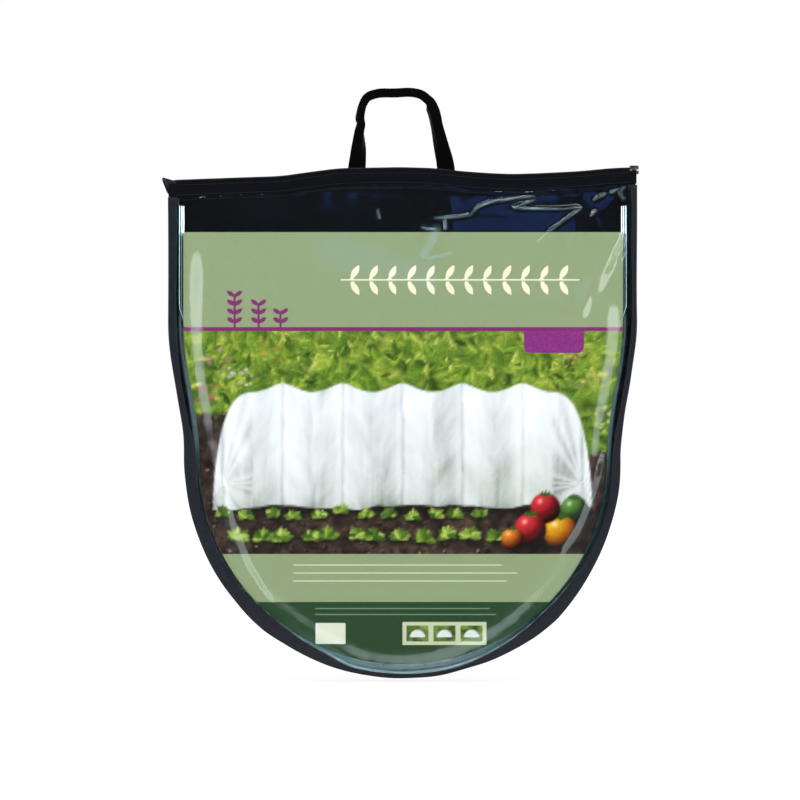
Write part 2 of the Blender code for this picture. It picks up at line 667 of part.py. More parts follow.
def make_cord_end(name, side, across, finish, parent):
    """Short end of the cord that leaves the knot and lies flat on the fleece."""
    half = KNOT_RADIUS * KNOT_EXIT_SHARE
    start = knot_centre(side) + X_AXIS * across * half - Z_AXIS * (KNOT_RADIUS + TOUCH_GAP)
    points = []
    for k in range(CORD_END_STEPS + 1):
        share = k / CORD_END_STEPS
        bow = CORD_END_SPREAD * math.sin(share * math.pi / 2)
        points.append(start + X_AXIS * across * bow - Z_AXIS * CORD_END * share)
    return sweep(name, path_stations(points, Y_AXIS), circle(CORD_RADIUS, CORD_SIDES), finish, parent)


def build():
    clear_scene()
    black_cloth = material("black_woven_cloth", (0.012, 0.012, 0.016), 0.8)
    black_tape = material("black_binding_tape", (0.02, 0.019, 0.02), 0.75)
    webbing = material("black_webbing", (0.006, 0.007, 0.007), 0.7)
    coil_nylon = material("black_coil_nylon", (0.01, 0.01, 0.01), 0.45)
    slider_metal = material("black_slider_metal", (0.02, 0.02, 0.02), 0.35, 0.6)
    film = material("clear_film", (0.6, 0.68, 0.75), 0.08, 0.0, 0.25)
    board = material("printed_card", (0.31, 0.40, 0.22), 0.5)
    galvanised = material("galvanised_wire", (0.62, 0.65, 0.68), 0.35, 1.0)
    fleece = material("white_fleece", (0.85, 0.86, 0.86), 0.9)
    cord = material("black_drawcord", (0.01, 0.01, 0.012), 0.8)

    origin = Vector((0, HANDLE_MIDDLE, GRIP_UNDERSIDE))
    frame = empty("carry_frame", -origin)
    bag = empty("bag_joint", (0, 0, 0), frame)
    handle = empty("handle_joint", handle_hinge(), bag)
    pull = empty("zip_pull_joint", pull_pivot(), bag)
    card = empty("card_joint", (0, 0, 0), bag)
    tunnel = empty("tunnel_joint", (0, 0, 0), bag)

    make_panel("front_film", -FILM_INNER, -FILM_OUTER, film, bag)
    make_panel("back_panel", FILM_INNER, FILM_OUTER, black_cloth, bag)
    make_gusset(black_cloth, bag)
    for name, side in (("front", -1), ("back", 1)):
        make_binding(f"{name}_binding", side, black_tape, bag)
        make_hem(f"{name}_hem", side, black_tape, bag)
        make_zip_tape(f"{name}_zip_tape", side, black_tape, bag)
        make_zip_coil(f"{name}_zip_coil", side, coil_nylon, bag)
    make_tab("left_end_tab", -1, LEFT_TOP, LEFT_TAB_REACH, LEFT_TAB_RISE, LEFT_TAB_HEIGHT, black_tape, bag)
    slider_base = RIGHT_TOP + SLIDER_ABOVE_TOP - SLIDER_HEIGHT - TOUCH_GAP
    make_tab("right_end_tab", 1, slider_base, 0, 0, RIGHT_TAB_HEIGHT, black_tape, bag)
    make_slider(slider_metal, bag)
    make_handle_foot("left_handle_foot", HANDLE_SHARES[0][0] * HANDLE_HALF_SPAN, webbing, bag)
    make_handle_foot("right_handle_foot", HANDLE_SHARES[-1][0] * HANDLE_HALF_SPAN, webbing, bag)
    make_handle_loop(webbing, handle)
    make_zip_pull(slider_metal, pull)
    make_card(board, card)
    for number in range(HOOP_COUNT):
        make_hoop(number, galvanised, tunnel)
    make_cover(fleece, tunnel)
    for name, side in (("front", -1), ("back", 1)):
        make_end_skirt(f"{name}_end_skirt", side, fleece, tunnel)
        make_drawcord(f"{name}_drawcord", side, cord, tunnel)
        make_knot(f"{name}_drawcord_knot", side, cord, tunnel)
        make_cord_end(f"{name}_left_cord_end", side, -1, cord, tunnel)
        make_cord_end(f"{name}_right_cord_end", side, 1, cord, tunnel)


build()
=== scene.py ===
import math

import bmesh
import bpy
import numpy as np
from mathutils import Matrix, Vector


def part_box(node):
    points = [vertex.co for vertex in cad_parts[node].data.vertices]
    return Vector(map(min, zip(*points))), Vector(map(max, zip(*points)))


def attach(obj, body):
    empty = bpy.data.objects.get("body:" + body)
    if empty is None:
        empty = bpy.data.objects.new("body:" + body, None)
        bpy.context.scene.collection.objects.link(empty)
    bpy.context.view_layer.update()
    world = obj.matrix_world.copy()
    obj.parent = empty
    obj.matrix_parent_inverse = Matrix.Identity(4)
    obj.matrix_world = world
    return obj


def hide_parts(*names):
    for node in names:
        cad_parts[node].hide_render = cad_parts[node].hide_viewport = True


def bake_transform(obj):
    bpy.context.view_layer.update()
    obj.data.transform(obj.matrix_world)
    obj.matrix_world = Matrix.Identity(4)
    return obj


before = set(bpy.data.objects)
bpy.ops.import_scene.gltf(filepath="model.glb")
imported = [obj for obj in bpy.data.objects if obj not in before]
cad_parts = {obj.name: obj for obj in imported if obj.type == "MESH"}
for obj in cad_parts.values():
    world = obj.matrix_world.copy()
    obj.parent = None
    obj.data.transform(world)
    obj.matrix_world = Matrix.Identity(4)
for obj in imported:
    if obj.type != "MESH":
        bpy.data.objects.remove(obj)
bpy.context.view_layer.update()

# Camera, floor and light: a packshot of the hanging bag, square to its clear front, through a long
# lens, on plain white. Soft boxes give the level; tall narrow strips give the film its streaks.
bag_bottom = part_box("front_binding")[0][2]
bag_middle = (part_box("gusset")[0][1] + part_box("gusset")[1][1]) / 2
view_middle = (-0.0025, -0.306)
view_width = 0.8
camera_distance = 6.0
sensor_width = 36.0
film_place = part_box("front_film")[0][1]


def ink(hex_colour):
    """Screen red, green and blue from 0 to 1 of a hex colour."""
    return np.array([int(hex_colour[k : k + 2], 16) / 255 for k in (1, 3, 5)])


def to_linear(colours):
    """Linear light of screen colours."""
    return np.where(colours <= 0.04045, colours / 12.92, ((np.clip(colours, 0, 1) + 0.055) / 1.055) ** 2.4)


def linear(hex_colour):
    """Linear red, green, blue and alpha of a hex colour."""
    return (*to_linear(ink(hex_colour)).tolist(), 1.0)


def add_node(tree, kind, inputs=None, **settings):
    """Adds one node with its settings; an input takes a value, a socket or a node's first output."""
    made = tree.nodes.new(kind)
    for name, value in settings.items():
        setattr(made, name, value)
    for name, value in (inputs or {}).items():
        value = value.outputs[0] if isinstance(value, bpy.types.Node) else value
        if isinstance(value, bpy.types.NodeSocket):
            tree.links.new(value, made.inputs[name])
        else:
            made.inputs[name].default_value = value
    return made


def new_material(name):
    """A material with an empty tree, and the tree."""
    made = bpy.data.materials.new(name)
    made.use_nodes = True
    made.node_tree.nodes.clear()
    return made, made.node_tree


def placed(name, data):
    """A new object that shows some data in the scene."""
    made = bpy.data.objects.new(name, data)
    bpy.context.scene.collection.objects.link(made)
    return made


camera_data = bpy.data.cameras.new("packshot_camera")
camera_data.sensor_width = sensor_width
camera_data.lens = sensor_width * camera_distance / view_width
camera_data.clip_end = 60
camera = placed("packshot_camera", camera_data)
camera.location = (view_middle[0], film_place - camera_distance, view_middle[1])
camera.rotation_euler = (math.pi / 2, 0, 0)
bpy.context.scene.camera = camera
bpy.context.scene.view_settings.view_transform = "Standard"

# Lamps, which all face one spot in the bag: their place, width, height, watts and colour.
lit_spot = Vector((0.0, bag_middle, bag_bottom + 0.26))
for name, place, width, height, watts, colour in (
    ("left_box", (-2.6, -2.2, 0.7), 1.6, 1.8, 42, "#FCFDFF"),
    ("right_box", (2.6, -2.2, 0.7), 1.6, 1.8, 42, "#FFFFFF"),
    ("top_box", (0.0, -1.4, 2.2), 2.2, 1.0, 24, "#FFFFFF"),
    ("back_left_box", (-2.0, 2.4, 0.6), 1.4, 1.8, 36, "#FFFFFF"),
    ("back_right_box", (2.0, 2.4, 0.6), 1.4, 1.8, 36, "#FFFFFF"),
    ("left_strip", (-1.33, -3.6, -0.4), 0.24, 2.6, 13, "#F2F8FF"),
    ("left_bright_strip", (-1.60, -3.6, -0.5), 0.05, 2.6, 7, "#EAF4FF"),
    ("right_strip", (1.36, -3.6, -0.5), 0.26, 2.8, 15, "#F7FAFF"),
    ("right_bright_strip", (1.66, -3.6, -0.5), 0.06, 2.6, 8, "#F2F6FF"),
    ("high_strip", (0.2, -3.5, 0.95), 1.6, 0.10, 5, "#EAF4FF"),
    ("blue_panel", (0.2, -4.2, 0.45), 0.42, 0.28, 0.8, "#3F6FD8"),
):
    data = bpy.data.lights.new(name, "AREA")
    data.shape, data.size, data.size_y = "RECTANGLE", width, height
    data.energy, data.color = watts, linear(colour)[:3]
    lamp = placed(name, data)
    lamp.location = place
    lamp.rotation_euler = (lit_spot - Vector(place)).to_track_quat("-Z", "Y").to_euler()

world = bpy.data.worlds.new("white_studio")
bpy.context.scene.world = world
world.use_nodes = True
world.node_tree.nodes.clear()
sky = world.node_tree
rays = add_node(sky, "ShaderNodeLightPath")
# The world's own Y says how far a ray goes to the back.
ahead = add_node(sky, "ShaderNodeSeparateXYZ", {0: add_node(sky, "ShaderNodeTexCoord")})
# What shiny pieces mirror: white behind the bag and at the sides, a dim room in front of it. Rays
# that passed the film twice come from the hoops' wires, which only see out through a narrow gap.
inner = add_node(
    sky, "ShaderNodeMath", {0: rays.outputs["Transparent Depth"], 1: 1.5}, operation="GREATER_THAN"
)
front_level = add_node(sky, "ShaderNodeMix", {"Factor": inner, 2: 0.035, 3: 2.6})
studio = add_node(
    sky, "ShaderNodeMapRange",
    {"Value": ahead.outputs["Y"], "From Min": -0.75, "From Max": 0.1, "To Min": front_level, "To Max": 0.9},
    interpolation_type="SMOOTHSTEP",
)
mirrored = add_node(sky, "ShaderNodeMix", {"Factor": rays.outputs["Is Glossy Ray"], 2: 0.42, 3: studio})
seen = add_node(
    sky, "ShaderNodeMath", {0: rays.outputs["Is Camera Ray"], 1: rays.outputs["Is Transmission Ray"]},
    operation="MAXIMUM",
)
level = add_node(sky, "ShaderNodeMix", {"Factor": seen, 2: mirrored, 3: 1.0})
backdrop = add_node(sky, "ShaderNodeBackground", {"Color": (1, 1, 1, 1), "Strength": level})
add_node(sky, "ShaderNodeOutputWorld", {"Surface": backdrop})

floor_drop = 0.004
floor_half = 20
floor_height = bag_bottom - floor_drop
floor_mesh = bpy.data.meshes.new("studio_floor")
floor_mesh.from_pydata(
    [(x * floor_half, y * floor_half, floor_height) for x, y in ((-1, -1), (1, -1), (1, 1), (-1, 1))],
    [], [(0, 1, 2, 3)],
)
floor = placed("studio_floor", floor_mesh)
# Matt white paper: mostly a plain white of its own, with enough real surface to keep a soft shadow.
paper, tree = new_material("matt_paper_sweep")
matt = add_node(tree, "ShaderNodeBsdfDiffuse", {"Color": linear("#F4F4F4")})
place = add_node(tree, "ShaderNodeTexCoord").outputs["Object"]
away = add_node(tree, "ShaderNodeVectorMath", {0: place}, operation="LENGTH")
lift = add_node(
    tree, "ShaderNodeMapRange",
    {"Value": away.outputs["Value"], "From Min": 0.7, "From Max": 2.2, "To Min": 1.1, "To Max": 1.28},
)
rays = add_node(tree, "ShaderNodeLightPath")
# In the film's mirror the paper in front of the bag is as dim as the room over it.
ahead = add_node(tree, "ShaderNodeSeparateXYZ", {0: place})
dimmed = add_node(
    tree, "ShaderNodeMapRange",
    {"Value": ahead.outputs["Y"], "From Min": -0.12, "From Max": 0.1, "To Min": 0.05, "To Max": 1.1},
)
lit = add_node(tree, "ShaderNodeMix", {"Factor": rays.outputs["Is Glossy Ray"], 2: lift, 3: dimmed})
plain = add_node(tree, "ShaderNodeEmission", {"Color": (1, 1, 1, 1), "Strength": lit})
seen = add_node(
    tree, "ShaderNodeMath", {0: rays.outputs["Is Camera Ray"], 1: rays.outputs["Is Glossy Ray"]},
    operation="MAXIMUM",
)
share = add_node(tree, "ShaderNodeMath", {0: seen, 1: 0.8}, operation="MULTIPLY")
mixed = add_node(tree, "ShaderNodeMixShader", {0: share, 1: matt, 2: plain})
add_node(tree, "ShaderNodeOutputMaterial", {"Surface": mixed})
floor_mesh.materials.append(paper)
# A white card on the floor, seen only in the mirror of the film: its curved far edge is where the
# film's lower bend looks, so the streaks of the side strips run on round the bottom of the bag.
reflector_half, reflector_columns = 1.1, 67
card_x = np.linspace(-reflector_half, reflector_half, reflector_columns)
far_edge = np.sqrt((2.9 * card_x) ** 2 + 0.25) - 0.437
card_points = [
    (a, film_place - scale * b, floor_height + 0.001) for scale in (1.04, 0.55)
    for a, b in zip(card_x, far_edge)
]
next_row = reflector_columns
reflector_mesh = bpy.data.meshes.new("floor_reflector")
reflector_mesh.from_pydata(
    card_points, [], [(k, k + next_row, k + next_row + 1, k + 1) for k in range(reflector_columns - 1)]
)
reflector = placed("floor_reflector", reflector_mesh)
white_card, tree = new_material("white_reflector_card")
shine = add_node(tree, "ShaderNodeEmission", {"Color": linear("#E2F4F4"), "Strength": 4.5})
add_node(tree, "ShaderNodeOutputMaterial", {"Surface": shine})
reflector_mesh.materials.append(white_card)
reflector.visible_camera = reflector.visible_diffuse = reflector.visible_transmission = False
reflector.visible_shadow = False

# Back panel: one D of black coated polyester cloth, cut to the bag's outline and pulled flat by its
# bound seam, with the slack of sewn cloth. Its edge lies under the binding and its top in the hem.
bag_radius = 0.218
side_flare = 0.016
flare_top = 0.358
bag_top = 0.511
top_sag = 0.013
sag_places = (-1.0, -0.78, -0.52, -0.4, -0.27, 0.0, 0.14, 0.25, 0.37, 0.47, 0.6, 0.76, 0.89, 1.0)
sag_shares = (1.0, 0.85, 0.69, 0.38, 0.08, 0.0, 0.08, 0.31, 0.46, 0.54, 0.46, 0.31, 0.08, 0.0)
half_bag = bag_radius + side_flare
hem_drop = 0.003
film_layer = 0.02875
panel_inset = 0.0011
panel_drop = hem_drop + 0.0011
cloth_thickness = 0.0005


def top_edge(x):
    """Height of the mouth's wavy edge, its turns rounded as cloth rounds them."""
    offsets = np.linspace(-0.009, 0.009, 7)
    sags = [np.interp((np.asarray(x) + o) / half_bag, sag_places, sag_shares) for o in offsets]
    return bag_top - top_sag * np.mean(sags, axis=0)


def ramp(value, wide):
    """A share from 0 to 1 that rises evenly as a value goes from 0 to a width."""
    return np.clip(value / wide, 0, 1)


def eased(share):
    """A share from 0 to 1 that starts and ends gently."""
    return share * share * (3 - 2 * share)


def half_width(z):
    """Half the bag's width at a height above its lowest point."""
    z = np.asarray(z, dtype=float)
    low = np.sqrt(np.maximum(bag_radius**2 - (bag_radius - z) ** 2, 0))
    share = ramp(z - bag_radius, flare_top - bag_radius)
    high = bag_radius + side_flare * (1 - np.cos(np.pi * share)) / 2
    return np.where(z < bag_radius, low, high)


def edge_distance(x, z):
    """How far inside the bag's D outline a point lies, the mouth left out."""
    low = bag_radius - np.hypot(x, z - bag_radius)
    return np.where(z < bag_radius, low, half_width(z) - np.abs(x))


def grid_faces(rows, columns):
    """Quads of a grid of points that are counted row by row."""
    index = np.arange(rows * columns).reshape(rows, columns)
    return np.stack([index[:-1, :-1], index[:-1, 1:], index[1:, 1:], index[1:, :-1]], -1).reshape(-1, 4)


def closed_faces(rows, columns):
    """Quads of a grid whose rows are closed rings, and the two end faces."""
    index = np.arange(rows * columns).reshape(rows, columns)
    ring = np.hstack([index, index[:, :1]])
    quads = np.stack([ring[:-1, :-1], ring[:-1, 1:], ring[1:, 1:], ring[1:, :-1]], -1).reshape(-1, 4)
    return [*quads.tolist(), index[0].tolist(), index[-1, ::-1].tolist()]


def run_along(*axes):
    """Length run along a line so far, at each of its points."""
    steps = np.sqrt(sum(np.diff(axis) ** 2 for axis in axes))
    return np.concatenate([[0], np.cumsum(steps)])


def uv_grid(along, across):
    """UV in metres of a grid, from its rows' places and its columns'."""
    return np.stack(np.broadcast_arrays(np.asarray(along)[:, None], across), -1)


def panel_grid(columns, rows, mouth_rows):
    """X and Z of a grid that fills the D, its last rows shaped to the wavy mouth."""
    radius = bag_radius - panel_inset
    turn = np.linspace(0.02, np.pi / 2, rows // 3)
    low = bag_radius - radius * np.cos(turn)
    shelf = bag_top - top_sag - 0.05
    high = np.linspace(bag_radius, shelf, rows - rows // 3 - mouth_rows + 1)[1:]
    across = np.linspace(-1, 1, columns)
    x_rows, z_rows = [], []
    for z in np.concatenate([low, high]):
        round_reach = math.sqrt(max(radius**2 - (bag_radius - z) ** 2, 0))
        reach = round_reach if z < bag_radius else half_width(z) - panel_inset
        x_rows.append(across * reach)
        z_rows.append(np.full(columns, z))
    reach = half_width(shelf) - panel_inset
    for share in np.linspace(0, 1, mouth_rows + 1)[1:]:
        x_rows.append(across * reach)
        z_rows.append(shelf + (top_edge(across * reach) - panel_drop - shelf) * share)
    return np.array(x_rows), np.array(z_rows)


def assigned(made, body, nodes):
    """Says which body a piece rides on and which CAD nodes it stands for."""
    if body:
        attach(made, body)
    if nodes:
        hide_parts(*nodes)
    return made


def made_piece(name, points, faces, material, body, nodes=(), slot=None, uv=None, flat=False):
    """A mesh from points in the bag's own axes (across, from its mid-plane, up from its lowest point)."""
    mesh = bpy.data.meshes.new(name)
    places = np.asarray(points, dtype=float).reshape(-1, 3) + (0, bag_middle, bag_bottom)
    mesh.from_pydata(places.tolist(), [], [tuple(int(k) for k in face) for face in faces])
    if uv is not None:
        corners = np.empty(len(mesh.loops), np.int32)
        mesh.loops.foreach_get("vertex_index", corners)
        layer = mesh.uv_layers.new(name="cloth_metres")
        layer.data.foreach_set("uv", np.asarray(uv, float).reshape(-1, 2)[corners].ravel())
    mesh.materials.append(material)
    if not flat:
        mesh.shade_smooth()
    return assigned(placed(name, mesh), body, nodes)


def face_outwards(piece):
    """Turns a closed mesh's faces outwards."""
    shape = bmesh.new()
    shape.from_mesh(piece.data)
    bmesh.ops.remove_doubles(shape, verts=shape.verts, dist=1e-7)
    bmesh.ops.recalc_face_normals(shape, faces=shape.faces)
    shape.to_mesh(piece.data)
    shape.free()


def thicken(piece, thickness):
    """Gives a sheet its thickness, half to each side."""
    wall = piece.modifiers.new("cloth_thickness", "SOLIDIFY")
    wall.thickness, wall.offset, wall.use_even_offset = thickness, 0.0, False


def plain_weave(tree, along, across, warp, weft):
    """Height of a plain weave from two lengths in metres and its two thread spacings."""
    waves = []
    for place, other, spacing, crossing, shift in (
        (along, across, warp, weft, 0.0), (across, along, weft, warp, math.pi / 2),
    ):
        phase = add_node(tree, "ShaderNodeMath", {0: place, 1: 2 * math.pi / spacing}, operation="MULTIPLY")
        thread = add_node(tree, "ShaderNodeMath", {0: phase}, operation="SINE")
        gate = add_node(
            tree, "ShaderNodeMath", {0: other, 1: math.pi / crossing, 2: shift}, operation="MULTIPLY_ADD"
        )
        over = add_node(tree, "ShaderNodeMath", {0: gate}, operation="SINE")
        waves.append(add_node(tree, "ShaderNodeMath", {0: thread, 1: over}, operation="MULTIPLY"))
    return add_node(tree, "ShaderNodeMath", {0: waves[0], 1: waves[1]}, operation="MAXIMUM")


def woven_finish(name, dark, light, roughness, warp, weft, sheen, bump, by_uv, gloss=0.12):
    """Woven cloth: two close colours in slow patches, with painted shade between the threads, and a matt
    sheen.
    """
    made, tree = new_material(name)
    place = add_node(tree, "ShaderNodeTexCoord").outputs["UV" if by_uv else "Object"]
    parts = add_node(tree, "ShaderNodeSeparateXYZ", {0: place})
    weave = plain_weave(tree, parts.outputs["X"], parts.outputs["Y" if by_uv else "Z"], warp, weft)
    patches = add_node(
        tree, "ShaderNodeTexNoise", {"Vector": place, "Scale": 26.0, "Detail": 5.0, "Roughness": 0.6}
    )
    # Painted shade: the colour is darkened where the weave lies low, between its threads.
    threads = add_node(
        tree, "ShaderNodeMapRange", {"Value": weave, "From Min": -1.0, "To Min": 0.55, "To Max": 1.0}
    )
    colour = add_node(
        tree, "ShaderNodeMix", {"Factor": patches, 6: linear(dark), 7: linear(light)}, data_type="RGBA"
    )
    shaded = add_node(
        tree, "ShaderNodeMix", {"Factor": 1.0, 6: colour.outputs[2], 7: threads},
        data_type="RGBA", blend_type="MULTIPLY",
    )
    rough = add_node(
        tree, "ShaderNodeMapRange",
        {"Value": patches, "To Min": roughness - 0.08, "To Max": roughness + 0.08},
    )
    raised = add_node(tree, "ShaderNodeBump", {"Height": weave, "Distance": bump, "Strength": 0.6})
    shader = add_node(
        tree, "ShaderNodeBsdfPrincipled",
        {
            "Base Color": shaded.outputs[2], "Roughness": rough, "IOR": 1.5,
            "Specular IOR Level": gloss, "Sheen Weight": sheen, "Sheen Roughness": 0.4, "Normal": raised,
        },
    )
    add_node(tree, "ShaderNodeOutputMaterial", {"Surface": shader})
    return made


# PU-coated polyester: a fine plain weave, near black, that keeps a dull satin where it is coated.
# The real threads are 0.35 mm apart; 0.9 mm is the finest that shows from a step away.
coated_polyester = woven_finish(
    "pu_coated_polyester", dark="#08090E", light="#0F1219",
    roughness=0.6, warp=0.0009, weft=0.0009, sheen=0.01, bump=0.0001, by_uv=False, gloss=0.02,
)
x, z = panel_grid(columns=118, rows=120, mouth_rows=16)
inside = ramp(edge_distance(x, z), 0.06)
below = ramp(top_edge(x) - z - 0.02, 0.05)
slack_wave, slack_ruck = 0.0008, 0.0006
slack = slack_wave * (np.sin(21 * x + 9 * z) * np.sin(17 * z - 6 * x + 1.0) + 1) * inside * below
slack += slack_ruck * np.abs(np.sin(38 * (x * 0.5 + z))) * inside * below
points = np.stack([x, film_layer + slack, z], -1)
back_faces = grid_faces(*x.shape)[:, ::-1]
back_cloth = made_piece(
    "back_cloth_panel", points, back_faces, coated_polyester, "bag", ["back_panel"], "black_cloth"
)
thicken(back_cloth, cloth_thickness)

# Gusset: the band of the same cloth that gives the bag its depth, sewn round from one end of the
# mouth to the other. Both its edges turn out into the bound seams, and it ripples between them.
seam_fin = 0.0065
gusset_thickness = 0.0006
half_depth = 0.0282
zip_tape_width = 0.014
# Sewn pieces keep this gap where they don't touch.
sewn_gap = 0.0003


def d_path(left, turn, right, half_spread, radius):
    """A D from heights down its left side, turns round its bottom and heights up its right side: X, Z,
    the way inwards and the run."""
    x = np.concatenate([-half_spread(left), radius * np.cos(turn), half_spread(right)])
    z = np.concatenate([left, bag_radius + radius * np.sin(turn), right])
    inward_x = np.concatenate([np.ones(len(left)), -np.cos(turn), -np.ones(len(right))])
    inward_z = np.concatenate([np.zeros(len(left)), -np.sin(turn), np.zeros(len(right))])
    return x, z, inward_x, inward_z, run_along(x, z)


def edge_path(left_top, right_top, spacing):
    """The D path of the bag's edge, up to a height on each side."""
    left = np.linspace(left_top, bag_radius, max(2, round((left_top - bag_radius) / spacing)))[:-1]
    right = np.linspace(bag_radius, right_top, max(2, round((right_top - bag_radius) / spacing)))[1:]
    turn = np.linspace(math.pi, 2 * math.pi, round(math.pi * bag_radius / spacing))
    return d_path(left, turn, right, half_width, bag_radius)


def seam_path(drop):
    """The edge path of the seams, which end a drop below the mouth."""
    ends = [
        min(end, float(top_edge(way * (half_bag - binding_wide)))) - drop
        for way, end in ((-1, left_end), (1, right_end))
    ]
    return edge_path(*ends, spacing=0.004)


def swept_on_edge(path, insets, depths):
    """Points at insets from the bag's edge and depths from its mid-plane, all along the path."""
    x, z, inward_x, inward_z, _ = path
    insets, depths = np.broadcast_arrays(np.atleast_2d(insets), np.atleast_2d(depths))
    shape = (len(x), insets.shape[1])
    insets, depths = np.broadcast_to(insets, shape), np.broadcast_to(depths, shape)
    sideways, upwards = inward_x[:, None] * insets, inward_z[:, None] * insets
    return np.stack([x[:, None] + sideways, depths, z[:, None] + upwards], -1)


left_end, right_end = float(top_edge(-half_bag)), float(top_edge(half_bag))
gusset_ends = [end - zip_tape_width - sewn_gap for end in (left_end, right_end)]
path = edge_path(*gusset_ends, spacing=0.006)
run = path[4][:, None]
turned = half_depth - gusset_thickness / 2
web_steps = 13
depths = np.concatenate([[-turned, -turned], np.linspace(-turned, turned, web_steps), [turned, turned]])
web = seam_fin + gusset_thickness / 2
insets = np.concatenate([[panel_inset, 0.004], np.full(web_steps, web), [0.004, panel_inset]])[None, :]
hollow = np.cos(depths / turned * math.pi / 2)[None, :] * (np.abs(depths) < turned - 1e-6)
ripple = 0.0006 * np.sin(run * 62 + 3 * np.sin(run * 9)) * np.sin(depths[None, :] * 90 + run * 20)
insets = insets + hollow * (ripple - 0.0004)
points = swept_on_edge(path, insets, depths[None, :])
uv = uv_grid(path[4], run_along(depths, insets[0]))
# The same coated polyester, its threads followed along and across the band.
gusset_cloth = woven_finish(
    "pu_coated_polyester_band", dark="#08090E", light="#0F1219",
    roughness=0.58, warp=0.0009, weft=0.0009, sheen=0.01, bump=0.0001, by_uv=True,
)
gusset = made_piece(
    "gusset_band", points, grid_faces(len(path[0]), len(depths)), gusset_cloth, "bag", ["gusset"],
    "black_cloth", uv,
)
thicken(gusset, gusset_thickness)

# Bindings: grosgrain tape folded over each seam of the D, a ply outside and a ply inside, which
# narrows as the seam goes round the bottom. It puckers between its stitches.
ply_outer = 0.0301
binding_wide = 0.010
binding_thickness = 0.0008
fold_radius = 0.0009
hem_height = 0.014
stitch_pitch = 0.0032
# Polyester grosgrain: close ribs across the tape, blue-black, with a soft lustre on the ribs.
grosgrain = woven_finish(
    "polyester_grosgrain", dark="#04060F", light="#0B1022",
    roughness=0.40, warp=0.0013, weft=0.004, sheen=0.01, bump=0.00016, by_uv=True, gloss=0.28,
)


# Width of the binding in millimetres: by the turn in degrees from the bag's lowest point, left to
# right, and then by height up each straight side. It was sewn by hand and wanders.
turn_widths = (
    (-90, -35, -22, -14, 0, 15, 28, 42, 90), (12.3, 12.5, 10.0, 4.8, 3.8, 4.2, 6.4, 9.4, 8.0),
)
left_widths = ((0.218, 0.255, 0.30, 0.34, 0.5), (12.3, 7.0, 6.6, 8.2, 8.8))
right_widths = ((0.218, 0.27, 0.345, 0.47, 0.5), (8.0, 5.8, 5.0, 4.8, 7.5))
# Where the seam's layers bunch up they push the fold outwards, also in millimetres by the turn.
bunch_turns = (
    (-64, -50, -44, -39, -33, -24, 18, 28, 37, 44, 51, 60, 74),
    (0, 0.3, 1.3, 1.6, 0.4, 0, 0, 1.2, 2.9, 3.4, 1.9, 0.5, 0),
)


def turn_at(x, z):
    """The turn in degrees of a place on the bag's edge from its lowest point."""
    return np.degrees(np.arctan2(x, np.maximum(bag_radius - z, 1e-6)))


def binding_width(x, z):
    """Visible width of the binding at a place on the bag's edge."""
    turned = np.interp(turn_at(x, z), *turn_widths)
    sides = np.where(x < 0, np.interp(z, *left_widths), np.interp(z, *right_widths))
    return np.where(z < bag_radius, turned, sides) / 1000


def bunching(x, z, run):
    """How far the binding's fold stands out from the bag's edge."""
    bunched = np.interp(turn_at(x, z), *bunch_turns) * (z < bag_radius) / 1000
    return bunched + 0.00035 * (1 + np.sin(run * 58 + 3 * np.sin(run * 17)) * np.sin(run * 23))


def pucker(run, depth):
    """How the tape rises and falls with its stitches and with the slack of the seam."""
    waves = 0.5 * np.sin(run * 2 * math.pi / (4 * stitch_pitch)) + np.sin(run * 75 + 2 * np.sin(run * 31))
    return depth * (waves + 0.7 * np.sin(run * 231 + 3 * np.sin(run * 37)))


for side, name in ((-1, "front_binding"), (1, "back_binding")):
    path = seam_path(hem_drop + hem_height + sewn_gap)
    width = binding_width(path[0], path[1])[:, None] + 0.0004 * np.sin(path[4] * 55)[:, None]
    inner_back = half_depth - gusset_thickness - sewn_gap - binding_thickness
    inner = seam_fin - 0.0005
    swell = pucker(path[4] + side, 0.00024)[:, None]
    turn = np.linspace(0, math.pi / 2, 5)
    # The tape's section, from the outer ply's edge round the fold and back along its inner side.
    section = [
        (width, ply_outer - 0.0006), (width - 0.0004, ply_outer - 0.0001 + swell),
        (width * 0.75, ply_outer + swell * 0.4), (width * 0.45, ply_outer - 0.0001 + swell * 0.2),
        (width * 0.25, ply_outer + swell),
    ]
    rounding = [(fold_radius * (1 - math.cos(a)), fold_radius * (1 - math.sin(a))) for a in turn[::-1]]
    section += [(a, ply_outer - b + swell * 0.3) for a, b in rounding]
    section += [(b, inner_back + a) for a, b in rounding]
    section += [
        (inner, inner_back), (inner, inner_back + binding_thickness),
        (panel_inset - sewn_gap, inner_back + binding_thickness),
        (panel_inset - sewn_gap, ply_outer - binding_thickness), (width, ply_outer - binding_thickness),
    ]
    insets, depths = (np.hstack([place[k] + 0 * width for place in section]) for k in (0, 1))
    insets = insets - bunching(*path[:2], path[4] + side)[:, None] * np.clip(1 - insets / width, 0, 1)
    depths = side * depths
    points = swept_on_edge(path, insets, depths)
    faces = closed_faces(len(path[0]), len(section))
    uv = uv_grid(path[4], run_along(insets[0], depths[0]))
    seam = name.replace("binding", "bound_seam")
    face_outwards(made_piece(seam, points, faces, grosgrain, "bag", [name], "black_binding", uv))

# Stitching of the bag: one row of black lockstitch along each binding and two along each hem, each
# stitch a short thread sunk in the tape. The sewing thread is spun polyester, a little glossier.
stitch_radius = 0.00032
stitch_length = 0.0024
spun_polyester = woven_finish(
    "spun_polyester_thread", dark="#12141D", light="#20232E",
    roughness=0.5, warp=0.0006, weft=0.0006, sheen=0.02, bump=0.00005, by_uv=False, gloss=0.2,
)


